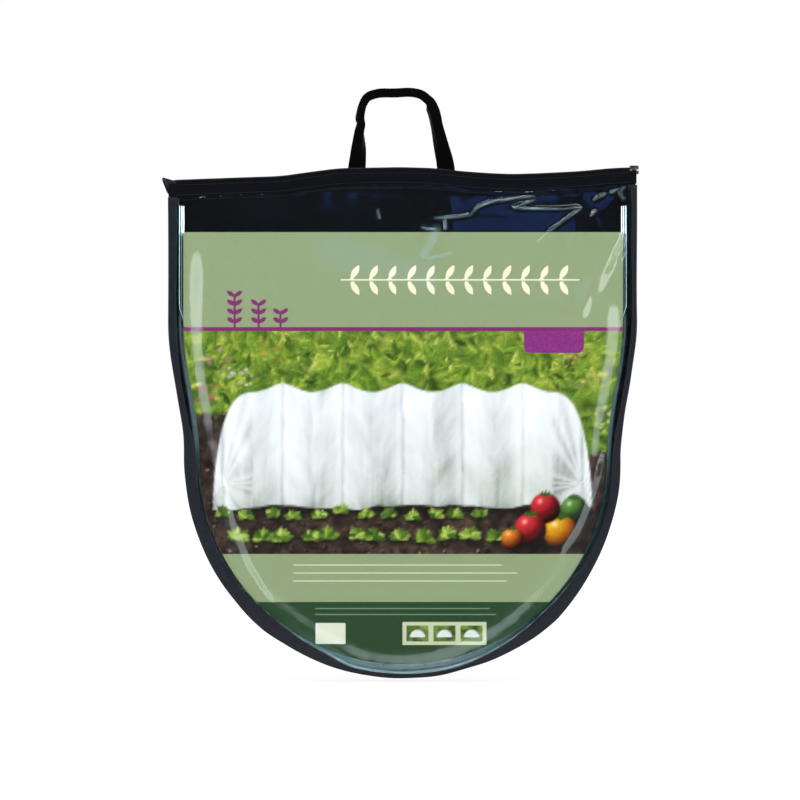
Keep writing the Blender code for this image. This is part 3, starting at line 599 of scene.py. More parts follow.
def new_group(name, inputs, result):
    """An empty Geometry Nodes group with its interface: the group, its inputs' names and their node."""
    group = bpy.data.node_groups.new(name, "GeometryNodeTree")
    identifiers = {}
    for label, kind, default in inputs:
        socket = group.interface.new_socket(label, in_out="INPUT", socket_type="NodeSocket" + kind)
        if default is not None:
            socket.default_value = default
        identifiers[label] = socket.identifier
    group.interface.new_socket(result, in_out="OUTPUT", socket_type="NodeSocketGeometry")
    return group, identifiers, add_node(group, "NodeGroupInput")


stitching, sockets, given = new_group("lockstitch_row", (
    ("Seam line", "Geometry", None), ("Stitch pitch", "Float", stitch_pitch),
    ("Stitch length", "Float", stitch_length), ("Thread radius", "Float", stitch_radius),
    ("Thread", "Material", None),
), "Stitches")
line = add_node(stitching, "GeometryNodeMeshToCurve", {0: given.outputs["Seam line"]})
places = add_node(
    stitching, "GeometryNodeCurveToPoints", {"Curve": line, "Length": given.outputs["Stitch pitch"]},
    mode="LENGTH",
)
half = add_node(
    stitching, "ShaderNodeMath", {0: given.outputs["Stitch length"], 1: 0.5}, operation="MULTIPLY"
)
size = add_node(
    stitching, "ShaderNodeCombineXYZ",
    {0: given.outputs["Thread radius"], 1: given.outputs["Thread radius"], 2: half},
)
ball = add_node(stitching, "GeometryNodeMeshUVSphere", {"Segments": 6, "Rings": 4, "Radius": 1.0})
stitch = add_node(stitching, "GeometryNodeTransform", {"Geometry": ball, "Scale": size})
smooth = add_node(stitching, "GeometryNodeSetShadeSmooth", {0: stitch})
laid = add_node(
    stitching, "GeometryNodeInstanceOnPoints",
    {"Points": places.outputs["Points"], "Instance": smooth, "Rotation": places.outputs["Rotation"]},
)
real = add_node(stitching, "GeometryNodeRealizeInstances", {0: laid})
dressed = add_node(
    stitching, "GeometryNodeSetMaterial", {"Geometry": real, "Material": given.outputs["Thread"]}
)
add_node(stitching, "NodeGroupOutput", {0: dressed})


def grown(name, line, tree, values, body, nodes=()):
    """Runs a Geometry Nodes tree on a line in the bag's axes and keeps the plain mesh that it gives."""
    mesh = bpy.data.meshes.new(name)
    places = np.asarray(line, float).reshape(-1, 3) + (0, bag_middle, bag_bottom)
    mesh.from_pydata(places.tolist(), [(k, k + 1) for k in range(len(places) - 1)], [])
    guide = placed(name + "_guide", mesh)
    modifier = guide.modifiers.new("construction", "NODES")
    modifier.node_group = tree
    for identifier, value in values.items():
        modifier[identifier] = value
    graph = bpy.context.evaluated_depsgraph_get()
    built = bpy.data.meshes.new_from_object(guide.evaluated_get(graph), depsgraph=graph)
    bpy.data.objects.remove(guide)
    built.name = name
    return assigned(placed(name, built), body, nodes)


def row_of_stitches(name, line):
    """One row of lockstitch in the bag, along a line."""
    return grown(name, line, stitching, {sockets["Thread"]: spun_polyester}, "bag")


for side, name in ((-1, "front"), (1, "back")):
    path = seam_path(hem_drop + hem_height + 0.002)
    insets = binding_width(path[0], path[1])[:, None] - 0.0016
    row_of_stitches(f"{name}_seam_stitches", swept_on_edge(path, insets, side * (ply_outer + 0.00005))[:, 0])

# Hems: a strip of the same grosgrain folded over the top edge of the film and of the back cloth,
# with two rows of stitches that also hold the zip's tapes. It follows the mouth's slack waves.
# Polyester tape of a closer, duller weave than the binding's.
hem_tape = woven_finish(
    "polyester_hem_tape", dark="#04060B", light="#090C14",
    roughness=0.55, warp=0.0013, weft=0.004, sheen=0.005, bump=0.00016, by_uv=True, gloss=0.06,
)
film_inner = 0.0285
ply_inner = 0.0293
x = np.linspace(-half_bag, half_bag, 121)
hem_top = top_edge(x) - hem_drop
# The tape's section: depth, height from its top edge, and its share of the puckering. The first six
# places are the outer ply, and its lowest two hang a little slack.
section = (
    (ply_inner, -hem_height, 0), (ply_outer - 0.0003, -hem_height, 0.5),
    (ply_outer, -hem_height + 0.0006, 1), (ply_outer, -0.0105, -0.6), (ply_outer, -0.007, 1),
    (ply_outer, -0.0035, -0.6), (ply_outer, -0.0010, 0.5), (ply_outer - 0.0004, -0.0002, 0),
    (film_inner + 0.0004, 0, 0), (film_inner, -0.0003, 0), (film_inner, -binding_thickness, 0),
    (ply_inner, -binding_thickness, 0),
)
for side, name in ((-1, "front"), (1, "back")):
    swell = pucker(x + 0.3 * side, 0.00014)
    slack_edge = 0.0006 * np.sin(x * 61 + side) + 0.0004 * np.sin(x * 143 + 2 * np.sin(x * 37))
    points = np.stack([
        np.stack([x, side * (depth + swell * rise), hem_top + up + slack_edge * (up < -0.013)], -1)
        for depth, up, rise in section
    ], 1)
    faces = closed_faces(len(x), len(section))
    heights = np.array([up for _, up, _ in section])
    uv = uv_grid(x, heights - 0.002 * (np.arange(len(section)) > 8))
    face_outwards(made_piece(
        f"{name}_mouth_hem", points, faces, hem_tape, "bag", [f"{name}_hem"], "black_binding", uv
    ))
    for label, up in (("upper", -0.0025), ("lower", -0.0122)):
        line = np.stack([x, np.full(len(x), side * (ply_outer + 0.00008)), hem_top + up], -1)
        row_of_stitches(f"{name}_hem_{label}_stitches", line[2:-2])

# Zip: two halves of a coil zip, undone. Each tape is sewn inside the mouth, turns both corners and
# ends over the gusset; the nylon coil is one wound filament sewn to the tape's edge.
zip_tape_thickness = 0.0006
coil_radius = 0.0009
filament_radius = 0.00026
filament_sides = 5
coil_pitch = 0.0013
corner_radius = 0.005
zip_end_gap = 0.009
tape_middle = half_depth - zip_tape_thickness / 2
web_middle = half_bag - seam_fin - gusset_thickness / 2
# Woven polyester zip tape: a tight twill-like weave with a dull sheen.
zip_cloth = woven_finish(
    "woven_zip_tape", dark="#08080B", light="#101014",
    roughness=0.66, warp=0.0008, weft=0.0011, sheen=0.01, bump=0.00008, by_uv=True,
)
# Extruded nylon filament, dyed black: smooth, so each turn carries a small highlight.
nylon, tree = new_material("dyed_nylon_filament")
worn = add_node(tree, "ShaderNodeTexNoise", {"Scale": 900.0, "Detail": 2.0})
rough = add_node(tree, "ShaderNodeMapRange", {"Value": worn, "To Min": 0.28, "To Max": 0.48})
tone = add_node(
    tree, "ShaderNodeMix", {"Factor": worn, 6: linear("#08080A"), 7: linear("#121216")},
    data_type="RGBA",
)
shader = add_node(
    tree, "ShaderNodeBsdfPrincipled",
    {"Base Color": tone.outputs[2], "Roughness": rough, "IOR": 1.53, "Specular IOR Level": 0.35},
)
add_node(tree, "ShaderNodeOutputMaterial", {"Surface": shader})


def zip_line(side, outward, spacing):
    """Line of one zip half, moved outwards: X, depth and the run, from the left end to the right."""
    reach, depth, radius = web_middle + outward, tape_middle + outward, corner_radius + outward
    turn = np.linspace(0, math.pi / 2, 9)[1:-1]
    xs = [-reach] * 4 + list(-reach + radius * (1 - np.cos(turn)))
    ys = list(np.linspace(zip_end_gap, depth - radius, 4)) + list(depth - radius * (1 - np.sin(turn)))
    front = np.linspace(-reach + radius, reach - radius, round(2 * reach / spacing))
    xs, ys = np.array(xs), np.array(ys)
    x = np.concatenate([xs, front, -xs[::-1]])
    y = np.concatenate([ys, np.full(len(front), depth), ys[::-1]]) * side
    run = run_along(x, y)
    return x, y, run


def tube(centres, across, up, radius, sides):
    """Points and faces of a round tube along a line that has two directions at each point."""
    angles = np.arange(sides) * 2 * math.pi / sides
    radius = np.broadcast_to(np.asarray(radius, float), (len(centres),))[:, None, None]
    ring = across[:, None] * np.cos(angles)[None, :, None] + up[:, None] * np.sin(angles)[None, :, None]
    points = centres[:, None] + ring * radius
    return points.reshape(-1, 3), closed_faces(len(centres), sides)


def directions(line):
    """The way that a line runs at each of its points."""
    ahead = np.gradient(line, axis=0)
    return ahead / np.linalg.norm(ahead, axis=1)[:, None]


def carried_frame(line):
    """Two directions square to a line at each of its points, carried along without twist."""
    ahead = directions(line)
    across = np.zeros_like(ahead)
    start = np.cross(ahead[0], (0.31, 0.17, 0.93))
    across[0] = start / np.linalg.norm(start)
    for k in range(1, len(line)):
        carried = across[k - 1] - ahead[k] * across[k - 1].dot(ahead[k])
        across[k] = carried / np.linalg.norm(carried)
    return across, np.cross(ahead, across)


for side, name in ((-1, "front"), (1, "back")):
    x, y, run = zip_line(side, 0, 0.004)
    heights = -zip_tape_width * np.array([0, 0.08, 0.3, 0.55, 0.8, 1.0])
    z = top_edge(x)
    wave = 0.00008 * np.sin(run * 120)
    points = np.stack(np.broadcast_arrays(x[:, None], (y + wave)[:, None], z[:, None] + heights[None, :]), -1)
    uv = uv_grid(run, heights)
    faces = grid_faces(len(x), len(heights))
    tape = made_piece(
        f"{name}_zip_tape_cloth", points, faces if side < 0 else faces[:, ::-1], zip_cloth, "bag",
        [f"{name}_zip_tape"], "zip_tape", uv,
    )
    thicken(tape, zip_tape_thickness)
    outward = zip_tape_thickness / 2 + sewn_gap + coil_radius
    x, y, run = zip_line(side, outward, 0.002)
    turns = np.arange(0, run[-1], coil_pitch / 8)
    x, y = np.interp(turns, run, x), np.interp(turns, run, y)
    core = np.stack([x, y, top_edge(x) - coil_radius], -1)
    ahead = directions(core[:, :2])
    aside = np.stack([ahead[:, 1], -ahead[:, 0], np.zeros(len(core))], -1)
    phase = turns * 2 * math.pi / coil_pitch
    wound = coil_radius - filament_radius
    line = core + aside * (wound * np.cos(phase))[:, None] + np.array([0, 0, wound]) * np.sin(phase)[:, None]
    points, faces = tube(line, *carried_frame(line), filament_radius, filament_sides)
    coil_node = [f"{name}_zip_coil"]
    face_outwards(made_piece(f"{name}_wound_coil", points, faces, nylon, "bag", coil_node, "zip_coil"))

# End tabs: short folds of the binding tape that close the two ends of the zip, each a block of plies
# stitched to the outside of the gusset. The left one stands up as an ear; the right one is under the
# slider.
web_outer = half_bag - seam_fin
tab_root = web_outer + sewn_gap
tab_depth = 0.012
tab_height = 0.018
ear_tip, ear_rise = half_bag + 0.0075, 0.004
ear_low = half_bag + 0.001875
slider_high = right_end + 0.0025
slider_low = slider_high - 0.0085
tab_top = slider_low - sewn_gap


def folded_tab(name, outline, node):
    """A block of folded tape: its outline pulled in between two plies, run across the gusset."""
    outline = np.array(outline)
    rim = np.array([
        a + (b - a) * share
        for a, b in zip(outline, np.roll(outline, -1, axis=0)) for share in (0.12, 0.5, 0.88)
    ])
    middle = rim.mean(axis=0)
    depths = np.linspace(-tab_depth / 2, tab_depth / 2, 15)
    rings = []
    for depth in depths:
        pinch = 0.0005 * math.cos(depth * math.pi / tab_depth)
        pinch = pinch * np.sin(np.arange(len(rim)) * 1.7 + depth * 300)
        soft = 1 - 0.10 * abs(depth * 2 / tab_depth) ** 6
        ring = middle + (rim - middle) * soft
        ring = ring + (middle - ring) * (np.abs(pinch) / tab_depth)[:, None]
        rings.append(np.stack([ring[:, 0], np.full(len(rim), depth), ring[:, 1]], -1))
    uv = uv_grid(depths, np.arange(len(rim)) * 0.0012)
    faces = closed_faces(len(depths), len(rim))
    face_outwards(made_piece(name, rings, faces, grosgrain, "bag", [node], "black_binding", uv))


ear = (
    (-tab_root, left_end), (-ear_tip, left_end + ear_rise),
    (-ear_tip, left_end + ear_rise - tab_height * 0.2), (-ear_low, left_end - tab_height * 0.75),
    (-tab_root, left_end - tab_height),
)
right_tab = (
    (tab_root, tab_top), (half_bag, tab_top), (half_bag, tab_top - tab_height * 0.2),
    (half_bag, tab_top - tab_height * 0.75), (tab_root, tab_top - tab_height),
)
folded_tab("left_folded_tab", ear, "left_end_tab")
folded_tab("right_folded_tab", right_tab, "right_end_tab")
right_seam = [(half_bag + sewn_gap, y, tab_top - 0.004) for y in np.linspace(-0.0045, 0.0045, 9)]
row_of_stitches("right_tab_stitches", right_seam)

# Zip slider and its pull: die-cast zinc in black enamel. The slider is two boat-shaped plates on a
# wedge, with a bail for the pull at its back end; the pull is a flat plate, pierced twice.
slider_near = web_outer + sewn_gap
slider_wide = 0.0096
slider_long = 0.012
plate_thick = 0.0016
pull_place = np.array((half_bag - 0.0024, slider_long / 2 + sewn_gap + 0.0006, right_end - 0.001))
pull_half = 0.00175
pull_length = 0.017
pull_thick = 0.0012
enamelled_zinc, tree = new_material("black_enamelled_zinc")
place = add_node(tree, "ShaderNodeTexCoord").outputs["Object"]
wear = add_node(tree, "ShaderNodeTexNoise", {"Vector": place, "Scale": 420.0, "Detail": 4.0})
rough = add_node(tree, "ShaderNodeMapRange", {"Value": wear, "To Min": 0.2, "To Max": 0.42})
tone = add_node(
    tree, "ShaderNodeMix", {"Factor": wear, 6: linear("#0A0A0D"), 7: linear("#15151A")},
    data_type="RGBA",
)
shader = add_node(tree, "ShaderNodeBsdfPrincipled", {
    "Base Color": tone.outputs[2], "Roughness": rough, "IOR": 1.5, "Coat Weight": 0.4, "Coat Roughness": 0.15,
})
add_node(tree, "ShaderNodeOutputMaterial", {"Surface": shader})


def flat_shape(loops, thickness, bevel):
    """A flat plate with eased edges from its outline and holes, as points and faces, in its own plane."""
    curve = bpy.data.curves.new("plate_outline", "CURVE")
    curve.dimensions, curve.fill_mode = "2D", "BOTH"
    curve.extrude, curve.bevel_depth, curve.bevel_resolution = thickness / 2 - bevel, bevel, 2
    curve.offset = -bevel
    for loop in loops:
        spline = curve.splines.new("POLY")
        spline.points.add(len(loop) - 1)
        for point, (a, b) in zip(spline.points, loop):
            point.co = (a, b, 0, 1)
        spline.use_cyclic_u = True
    holder = placed("plate_outline", curve)
    graph = bpy.context.evaluated_depsgraph_get()
    built = bpy.data.meshes.new_from_object(holder.evaluated_get(graph), depsgraph=graph)
    bpy.data.objects.remove(holder)
    points = np.array([v.co[:] for v in built.vertices])
    faces = [tuple(p.vertices) for p in built.polygons]
    bpy.data.meshes.remove(built)
    return points, faces


def joined(parts):
    """Several point and face lists as one."""
    points, faces, start = [], [], 0
    for part_points, part_faces in parts:
        points.append(np.asarray(part_points, float).reshape(-1, 3))
        faces += [tuple(int(k) + start for k in face) for face in part_faces]
        start += len(points[-1])
    return np.vstack(points), faces


def rounded_loop(half_a, half_b, power, count=28):
    """Outline of a rounded rectangle about its own middle."""
    turn = np.arange(count) * 2 * math.pi / count
    sides = [half * np.sign(wave) * np.abs(wave) ** (2 / power) for half, wave in (
        (half_a, np.cos(turn)), (half_b, np.sin(turn)),
    )]
    return list(zip(*sides))


middle_x = slider_near + slider_wide / 2
boat = [
    (a * (1 - 0.22 * max(0.0, b / (slider_long / 2)) ** 2), b)
    for a, b in rounded_loop(slider_wide / 2, slider_long / 2, power=4.5, count=36)
]
plate_points, plate_faces = flat_shape([boat], plate_thick, bevel=0.0004)
parts = []
flange_high, flange_half, flange_sunk = 0.0021, 0.0008, 0.0004
flange_points, flange_faces = flat_shape(
    [rounded_loop(flange_half, slider_long * 0.40, power=6, count=20)],
    flange_high + flange_sunk, bevel=0.0003,
)
for height, way in ((slider_low + plate_thick / 2, 1), (slider_high - plate_thick / 2, -1)):
    parts.append((plate_points + (middle_x, 0, height), plate_faces))
    up = height + way * (plate_thick + flange_high - flange_sunk) / 2
    for across in (-1, 1):
        edge_x = middle_x + across * (slider_wide / 2 - flange_half - 0.0001)
        parts.append((flange_points + (edge_x, 0, up), flange_faces))
wedge = rounded_loop(slider_wide * 0.3, slider_long * 0.46, power=3)
wedge_points, wedge_faces = flat_shape([wedge], slider_high - slider_low - plate_thick, bevel=0.0003)
parts.append((wedge_points + (middle_x, 0, (slider_low + slider_high) / 2), wedge_faces))
rib_half, rib_thick = 0.0011, 0.0008
rib = rounded_loop(rib_half, slider_long * 0.36, power=3)
rib_points, rib_faces = flat_shape([rib], rib_thick, bevel=0.0003)
parts.append((rib_points + (middle_x, 0, slider_high - 0.0002), rib_faces))
bail_radius, bail_wire, bail_points, bail_sides = 0.0013, 0.00035, 25, 8
turn = np.linspace(0, 2 * math.pi, bail_points)
outwards = np.stack([0 * turn, np.cos(turn), np.sin(turn)], -1)
sideways = np.tile((1.0, 0, 0), (bail_points, 1))
parts.append(tube(pull_place + bail_radius * outwards, sideways, outwards, bail_wire, bail_sides))
face_outwards(made_piece(
    "die_cast_slider", *joined(parts), enamelled_zinc, "bag", ["zip_slider"], "slider_metal"
))
# The pull's right edge from its head to its foot, in half widths across and in 9.71ths of its length.
pull_foot = 9.71
edge = [
    (0.75, 0.34), (1, 0.1), (1, -1.1), (0.72, -1.8), (0.6, -3.2), (0.62, -5.0), (0.85, -7.2), (1, -8.4),
    (0.9, -9.3), (0.55, -pull_foot),
]
edge = [(-1, 0.35), (-0.75, 0.34), *edge, *((-a, b) for a, b in edge[:1:-1])]
scale_z = pull_length / pull_foot
loops = [
    [(a * pull_half, b * scale_z if b < 0 else b * pull_half) for a, b in edge],
    [(a, b - 0.0014) for a, b in rounded_loop(0.0010, 0.0009, power=2.4, count=16)],
    [(a, b - pull_length * 0.77) for a, b in rounded_loop(0.0007, 0.0030, power=3, count=20)],
]
points, faces = flat_shape(loops, pull_thick, bevel=0.00028)
points = pull_place + points[:, (0, 2, 1)]
face_outwards(made_piece(
    "slider_pull", points, faces, enamelled_zinc, "zip_pull", ["zip_pull"], "slider_metal"
))

# Handle: one length of black polypropylene webbing, sewn flat to the back hem at both ends. Between
# them it folds lengthwise into a double grip, turns a little as it folds, and stands by its stiffness.
webbing_wide = 0.018
webbing_thick = 0.0016
fold_arc = 0.0032
handle_base = bag_top - hem_drop
handle_half_span = 0.0465
handle_rise = 0.0805
handle_middle = 0.0314
foot_length = 0.026
handle_steps = 161
# Places along the loop: share of the half span, of the rise and of the webbing's width seen from the
# front, and its turn in half turns.
handle_shares = np.array((
    (-1.0, 0.0, 1.0, 0.0), (-0.98, 0.14, 0.92, 0.0), (-0.96, 0.3, 0.8, 0.0), (-0.945, 0.56, 0.56, 0.1),
    (-0.91, 0.74, 0.42, 0.22), (-0.86, 0.85, 0.4, 0.26), (-0.76, 0.945, 0.44, 0.18),
    (-0.6, 0.985, 0.47, 0.06), (-0.16, 1.0, 0.47, 0.0), (0.28, 1.0, 0.47, 0.0),
    (0.42, 0.975, 0.47, -0.06), (0.56, 0.9, 0.5, -0.1), (0.67, 0.78, 0.54, -0.08),
    (0.755, 0.58, 0.64, 0.0), (0.86, 0.3, 0.84, 0.0), (0.93, 0.12, 0.95, 0.0), (0.95, 0.0, 1.0, 0.0),
))
# Woven polypropylene: coarse herringbone ribs, deep black, with a slight plastic shine.
webbing = woven_finish(
    "polypropylene_webbing", dark="#040404", light="#080908",
    roughness=0.7, warp=0.0016, weft=0.0022, sheen=0.0, bump=0.0002, by_uv=True, gloss=0.02,
)
line = np.stack([
    handle_shares[:, 0] * handle_half_span, handle_base + handle_rise * handle_shares[:, 1],
], -1)
feet = [(line[0, 0], handle_base - foot_length), (line[0, 0], handle_base - foot_length / 2)]
far_feet = [(line[-1, 0], handle_base - foot_length / 2), (line[-1, 0], handle_base - foot_length)]
line = np.vstack([feet, line, far_feet])
shares = np.vstack([[(1, 0)] * 2, handle_shares[:, 2:], [(1, 0)] * 2])
# A smooth line through those places, by cubic pieces, with its kinks evened out.
run = run_along(*line.T)
slopes = np.gradient(line, run, axis=0, edge_order=1)
steps = np.linspace(0, run[-1], handle_steps)
cell = np.clip(np.searchsorted(run, steps, side="right") - 1, 0, len(run) - 2)
wide = run[cell + 1] - run[cell]
t = ((steps - run[cell]) / wide)[:, None]
wide = wide[:, None]
smooth_line = (
    line[cell] * (2 * t**3 - 3 * t**2 + 1) + slopes[cell] * wide * (t**3 - 2 * t**2 + t)
    + line[cell + 1] * (3 * t**2 - 2 * t**3) + slopes[cell + 1] * wide * (t**3 - t**2)
)
kernel = np.array([1, 2, 3, 2, 1]) / 9
padded = np.pad(smooth_line, ((2, 2), (0, 0)), mode="edge")
smooth_line[8:-8] = np.stack([np.convolve(padded[:, k], kernel, "valid") for k in (0, 1)], -1)[8:-8]
# The bend of the fold that leaves each visible width, from flat to two thirds of the way to closed.
bends = np.linspace(0, math.pi, 60)[:40]
ply = (webbing_wide - fold_arc) / 2
with np.errstate(divide="ignore", invalid="ignore"):
    spans = ply + np.where(bends > 0, fold_arc * np.sin(np.minimum(bends, math.pi / 2)) / bends, fold_arc)
spans += ply * np.maximum(np.cos(bends), 0)
width_at = np.interp(steps, run, shares[:, 0])
bend_at = np.where(width_at <= 0.5, math.pi, np.interp(-width_at, -spans / webbing_wide, bends))
for _ in range(6):
    bend_at[3:-3] = (bend_at[2:-4] + bend_at[3:-3] * 2 + bend_at[4:-2]) / 4
twist_at = np.interp(steps, run, shares[:, 1]) * math.pi
ahead = directions(smooth_line)
backwards = np.array((0, 1.0, 0))
across_line = np.cross(backwards, np.stack([ahead[:, 0], np.zeros(len(steps)), ahead[:, 1]], -1))
cloth = np.concatenate([
    np.linspace(0, ply, 6), ply + np.linspace(0, fold_arc, 9)[1:-1], ply + fold_arc + np.linspace(0, ply, 6),
])
far_ply = np.maximum(0.0, cloth - ply - fold_arc)
rows = []
for place, side, bend, twist in zip(smooth_line, across_line, bend_at, twist_at):
    a, b = cloth, 0 * cloth
    if bend >= 1e-3:
        radius, turned = fold_arc / bend, bend * ramp(cloth - ply, fold_arc)
        a = np.minimum(cloth, ply) + radius * np.sin(turned) + far_ply * math.cos(bend)
        b = radius * (1 - np.cos(turned)) + far_ply * math.sin(bend)
    a, b = a - (a.min() + a.max()) / 2, b - (b.min() + b.max()) / 2
    side_t = side * math.cos(twist) + backwards * math.sin(twist)
    up_t = backwards * math.cos(twist) - side * math.sin(twist)
    rows.append((place[0], handle_middle, place[1]) + a[:, None] * side_t + b[:, None] * up_t)
uv = np.stack(np.broadcast_arrays(cloth, steps[:, None]), -1)
handle = made_piece(
    "webbing_handle", rows, grid_faces(len(steps), len(cloth)), webbing, None,
    ["left_handle_foot", "right_handle_foot", "handle_loop"], "black_webbing", uv,
)
thicken(handle, webbing_thick)
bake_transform(handle)
# Each foot is sewn down by a box and a cross: their corners in half widths across and in shares up.
foot_half, foot_low, foot_high = 0.0068, handle_base - 0.0235, handle_base - 0.0075
foot_face = handle_middle + webbing_thick / 2 + 0.0001
for label, foot_x in (("left", line[0, 0]), ("right", line[-1, 0])):
    for shape, corners in (
        ("box", ((-1, 0), (1, 0), (1, 1), (-1, 1), (-1, 0), (1, 1))), ("cross", ((-1, 1), (1, 0))),
    ):
        seam = [(foot_x + a * foot_half, foot_face, (foot_low, foot_high)[b]) for a, b in corners]
        row_of_stitches(f"{label}_foot_{shape}_stitches", seam)

# Film: the clear front, a D of flexible vinyl sewn in by its edge. It springs out behind the binding,
# lies over the card, and keeps soft ridges and sharp creases from folding, which mirror the lamps.
film_rise = 0.0027
flank_start, flank_wide = 0.005, 0.028
pucker_rise = 0.00016
ridge_rise, ridge_place, ridge_wide = 0.00023, 0.0024, 0.0011
slow_wave, quick_wave = 0.0007, 0.00012
crease_rise, crease_wide, milky_highlight_wide = 0.00036, 0.0020, 0.0009
lean_rise = 0.0019


def hump(value, wide, power=2):
    """1 where a value is 0, falling to nothing beyond a width on both sides."""
    return np.exp(-((value / wide) ** power))


x, z = panel_grid(columns=310, rows=300, mouth_rows=46)
inside = edge_distance(x, z)
below = top_edge(x) - hem_drop - hem_height - z
near_edge = np.minimum(inside - binding_width(x, z), below * 1.2)
share = ramp(near_edge - flank_start, flank_wide)
to_right = 1 / (1 + np.exp(-x / 0.05))
upper = ramp(z - 0.400 + 0.045 * to_right, 0.07 - 0.02 * to_right)
swell = film_rise * eased(share) * (1 - 0.82 * eased(upper))
run_round = np.where(z < bag_radius, np.arctan2(bag_radius - z, np.abs(x)) * bag_radius, bag_radius - z)
puckers = np.sin(run_round * 2 * math.pi / (6.3 * stitch_pitch) + 1.4 * np.sin(run_round * 41) + np.sign(x))
puckers += 0.7 * np.sin(run_round * 97 + 2.1 * np.sin(run_round * 23))
swell += pucker_rise * puckers * ramp(near_edge, 0.004) * np.exp(-np.maximum(near_edge, 0) / 0.009)
top_puckers = np.sin(x * 2 * math.pi / 0.023 + 2 * np.sin(x * 31))
swell += pucker_rise * top_puckers * ramp(below, 0.004) * np.exp(-np.maximum(below, 0) / 0.012)
# The seam's own ridge, close beside the binding.
seam_ridge = ridge_rise * hump(near_edge - ridge_place, ridge_wide)
swell += seam_ridge * (0.8 + 0.3 * np.sin(run_round * 47 + 2 * np.sin(run_round * 19)))
# Slow unevenness of film that has been rolled and folded.
swell += slow_wave * np.sin(17 * x + 6 * z + 1.1) * share
swell += quick_wave * np.sin(47 * x - 12 * z) * np.sin(31 * z + 14 * x + 0.6) * share


def pixel(column, row):
    """Bag X and height of a place that was read off the photo as a pixel."""
    return (column - 402.5) / 1000, (678 - row) / 1000


def distance_to(line):
    """Distance from each film point to a polyline, the share of the way along it, and the signed
    distance, which is positive on the line's left hand seen from the front."""
    best, along_best, side_best, total = np.full(x.shape, 9.0), np.zeros(x.shape), np.zeros(x.shape), 0.0
    spots = [np.array(pixel(*spot)) for spot in line]
    lengths = [np.hypot(*(b - a)) for a, b in zip(spots, spots[1:])]
    for (a, b), length in zip(zip(spots, spots[1:]), lengths):
        way = (b - a) / length
        along = np.clip((x - a[0]) * way[0] + (z - a[1]) * way[1], 0, length)
        far = np.hypot(x - a[0] - way[0] * along, z - a[1] - way[1] * along)
        nearer = far < best
        best = np.where(nearer, far, best)
        along_best = np.where(nearer, total + along, along_best)
        aside = way[0] * (z - a[1]) - way[1] * (x - a[0])
        side_best = np.where(nearer, np.sign(aside) * far, side_best)
        total += length
    return best, along_best / total, side_best


# Soft banks, as pixels: the film rises evenly across each line over a width in millimetres, at a
# slope that mirrors one lamp, and settles again further on. A minus sign turns the bank round.
soft_banks = (
    (((222, 470), (233, 520), (250, 566), (276, 608)), 5.0, 0.142, 1),
    (((632, 222), (610, 266), (590, 304), (576, 336)), 12.0, 0.147, -1),
    (((574, 334), (572, 388), (569, 440)), 4.0, 0.142, -1),
    (((606, 446), (594, 490), (578, 528), (556, 560)), 5.0, 0.142, -1),
)
for line, width, slope, way in soft_banks:
    far, along, offside = distance_to(line)
    ends = ramp(np.minimum(along, 1 - along), 0.16)
    level = way * offside / (width / 1000)
    bank = (np.logaddexp(0, 9 * level + 4.5) - np.logaddexp(0, 9 * level - 4.5)) / 9
    bank *= np.exp(-np.maximum(level - 0.5, 0) * width / 32)
    swell += slope * width / 1000 * bank * eased(ends) * hump(far, 0.05)
# Sharp creases near the mouth, where the film was bent back to fill the bag. A milky white is laid into the
# film along each crease: partly the whitening of bent vinyl, partly a painted highlight where the crease
# catches the lamps.
milky_and_highlight = np.zeros(x.shape)
creases = (
    ((432, 218), (455, 217), (470, 215), (478, 207), (490, 202), (515, 198), (533, 196), (537, 199)),
    ((537, 199), (520, 205), (514, 208), (560, 209), (583, 207)),
    ((583, 207), (562, 222), (548, 232), (535, 243)),
    ((592, 200), (606, 194)), ((590, 216), (597, 210)), ((377, 209), (380, 219)),
    ((420, 226), (428, 229), (437, 228)), ((445, 218), (446, 230)), ((625, 186), (619, 193), (625, 200)),
    ((626, 250), (619, 262)), ((610, 193), (620, 188)),
)
for line in creases:
    far, along, _ = distance_to(line)
    ends = ramp(np.minimum(along, 1 - along), 0.12)
    swell += crease_rise * hump(far, crease_wide) * ends
    milk_and_highlight = 0.27 + 0.15 * np.sin(x * 190 + 2 * np.sin(x * 61))
    milky_and_highlight = np.maximum(milky_and_highlight, hump(far, milky_highlight_wide) * ends * milk_and_highlight)
# Two broader smears of painted highlight, laid into the film as milky white, run down from the first crease.
for line, wide in (
    (((437, 228), (433, 240), (425, 251), (421, 257)), 0.0042),
    (((421, 257), (430, 258), (452, 253)), 0.0019),
):
    far, along, _ = distance_to(line)
    ends = np.clip(np.minimum(along, 1 - along) / 0.05 + 0.3, 0, 1)
    milky_and_highlight = np.maximum(milky_and_highlight, 0.16 * hump(far, wide, 4) * ends)
# The seam is painted milky round the bottom and as a thin line down each side: partly the vinyl's whitening,
# partly a painted highlight along the seam.
low = hump(x, 0.095, 4) * (z < 0.06)
milk_and_highlight = 0.34 * hump(near_edge - 0.0012, 0.0018) + 0.08 * (near_edge < 0.0095)
milky_and_highlight = np.maximum(milky_and_highlight, low * milk_and_highlight)
down_sides = ramp(0.37 - z, 0.01) * ramp(z - 0.20, 0.03)
milky_and_highlight = np.maximum(milky_and_highlight, 0.13 * down_sides * hump(inside - 0.0118, 0.0012))
milky_and_highlight *= near_edge > -0.002
# The panel between those creases leans back a little and mirrors a bluer part of the room.
lean = (x - pixel(436, 0)[0]) / 0.155
inside_lean = ramp(np.minimum(lean, 1 - lean), 0.10)
leaning = ramp(z - 0.350, 0.096) * ramp(0.483 - z, 0.037)
swell += lean_rise * inside_lean * leaning
swell = np.where(near_edge > 0, swell, np.clip(swell, 0, 0.0001))

# The film is one layer of mesh; its material mirrors from both its sides.
points = np.stack([x, -film_layer - swell, z], -1)
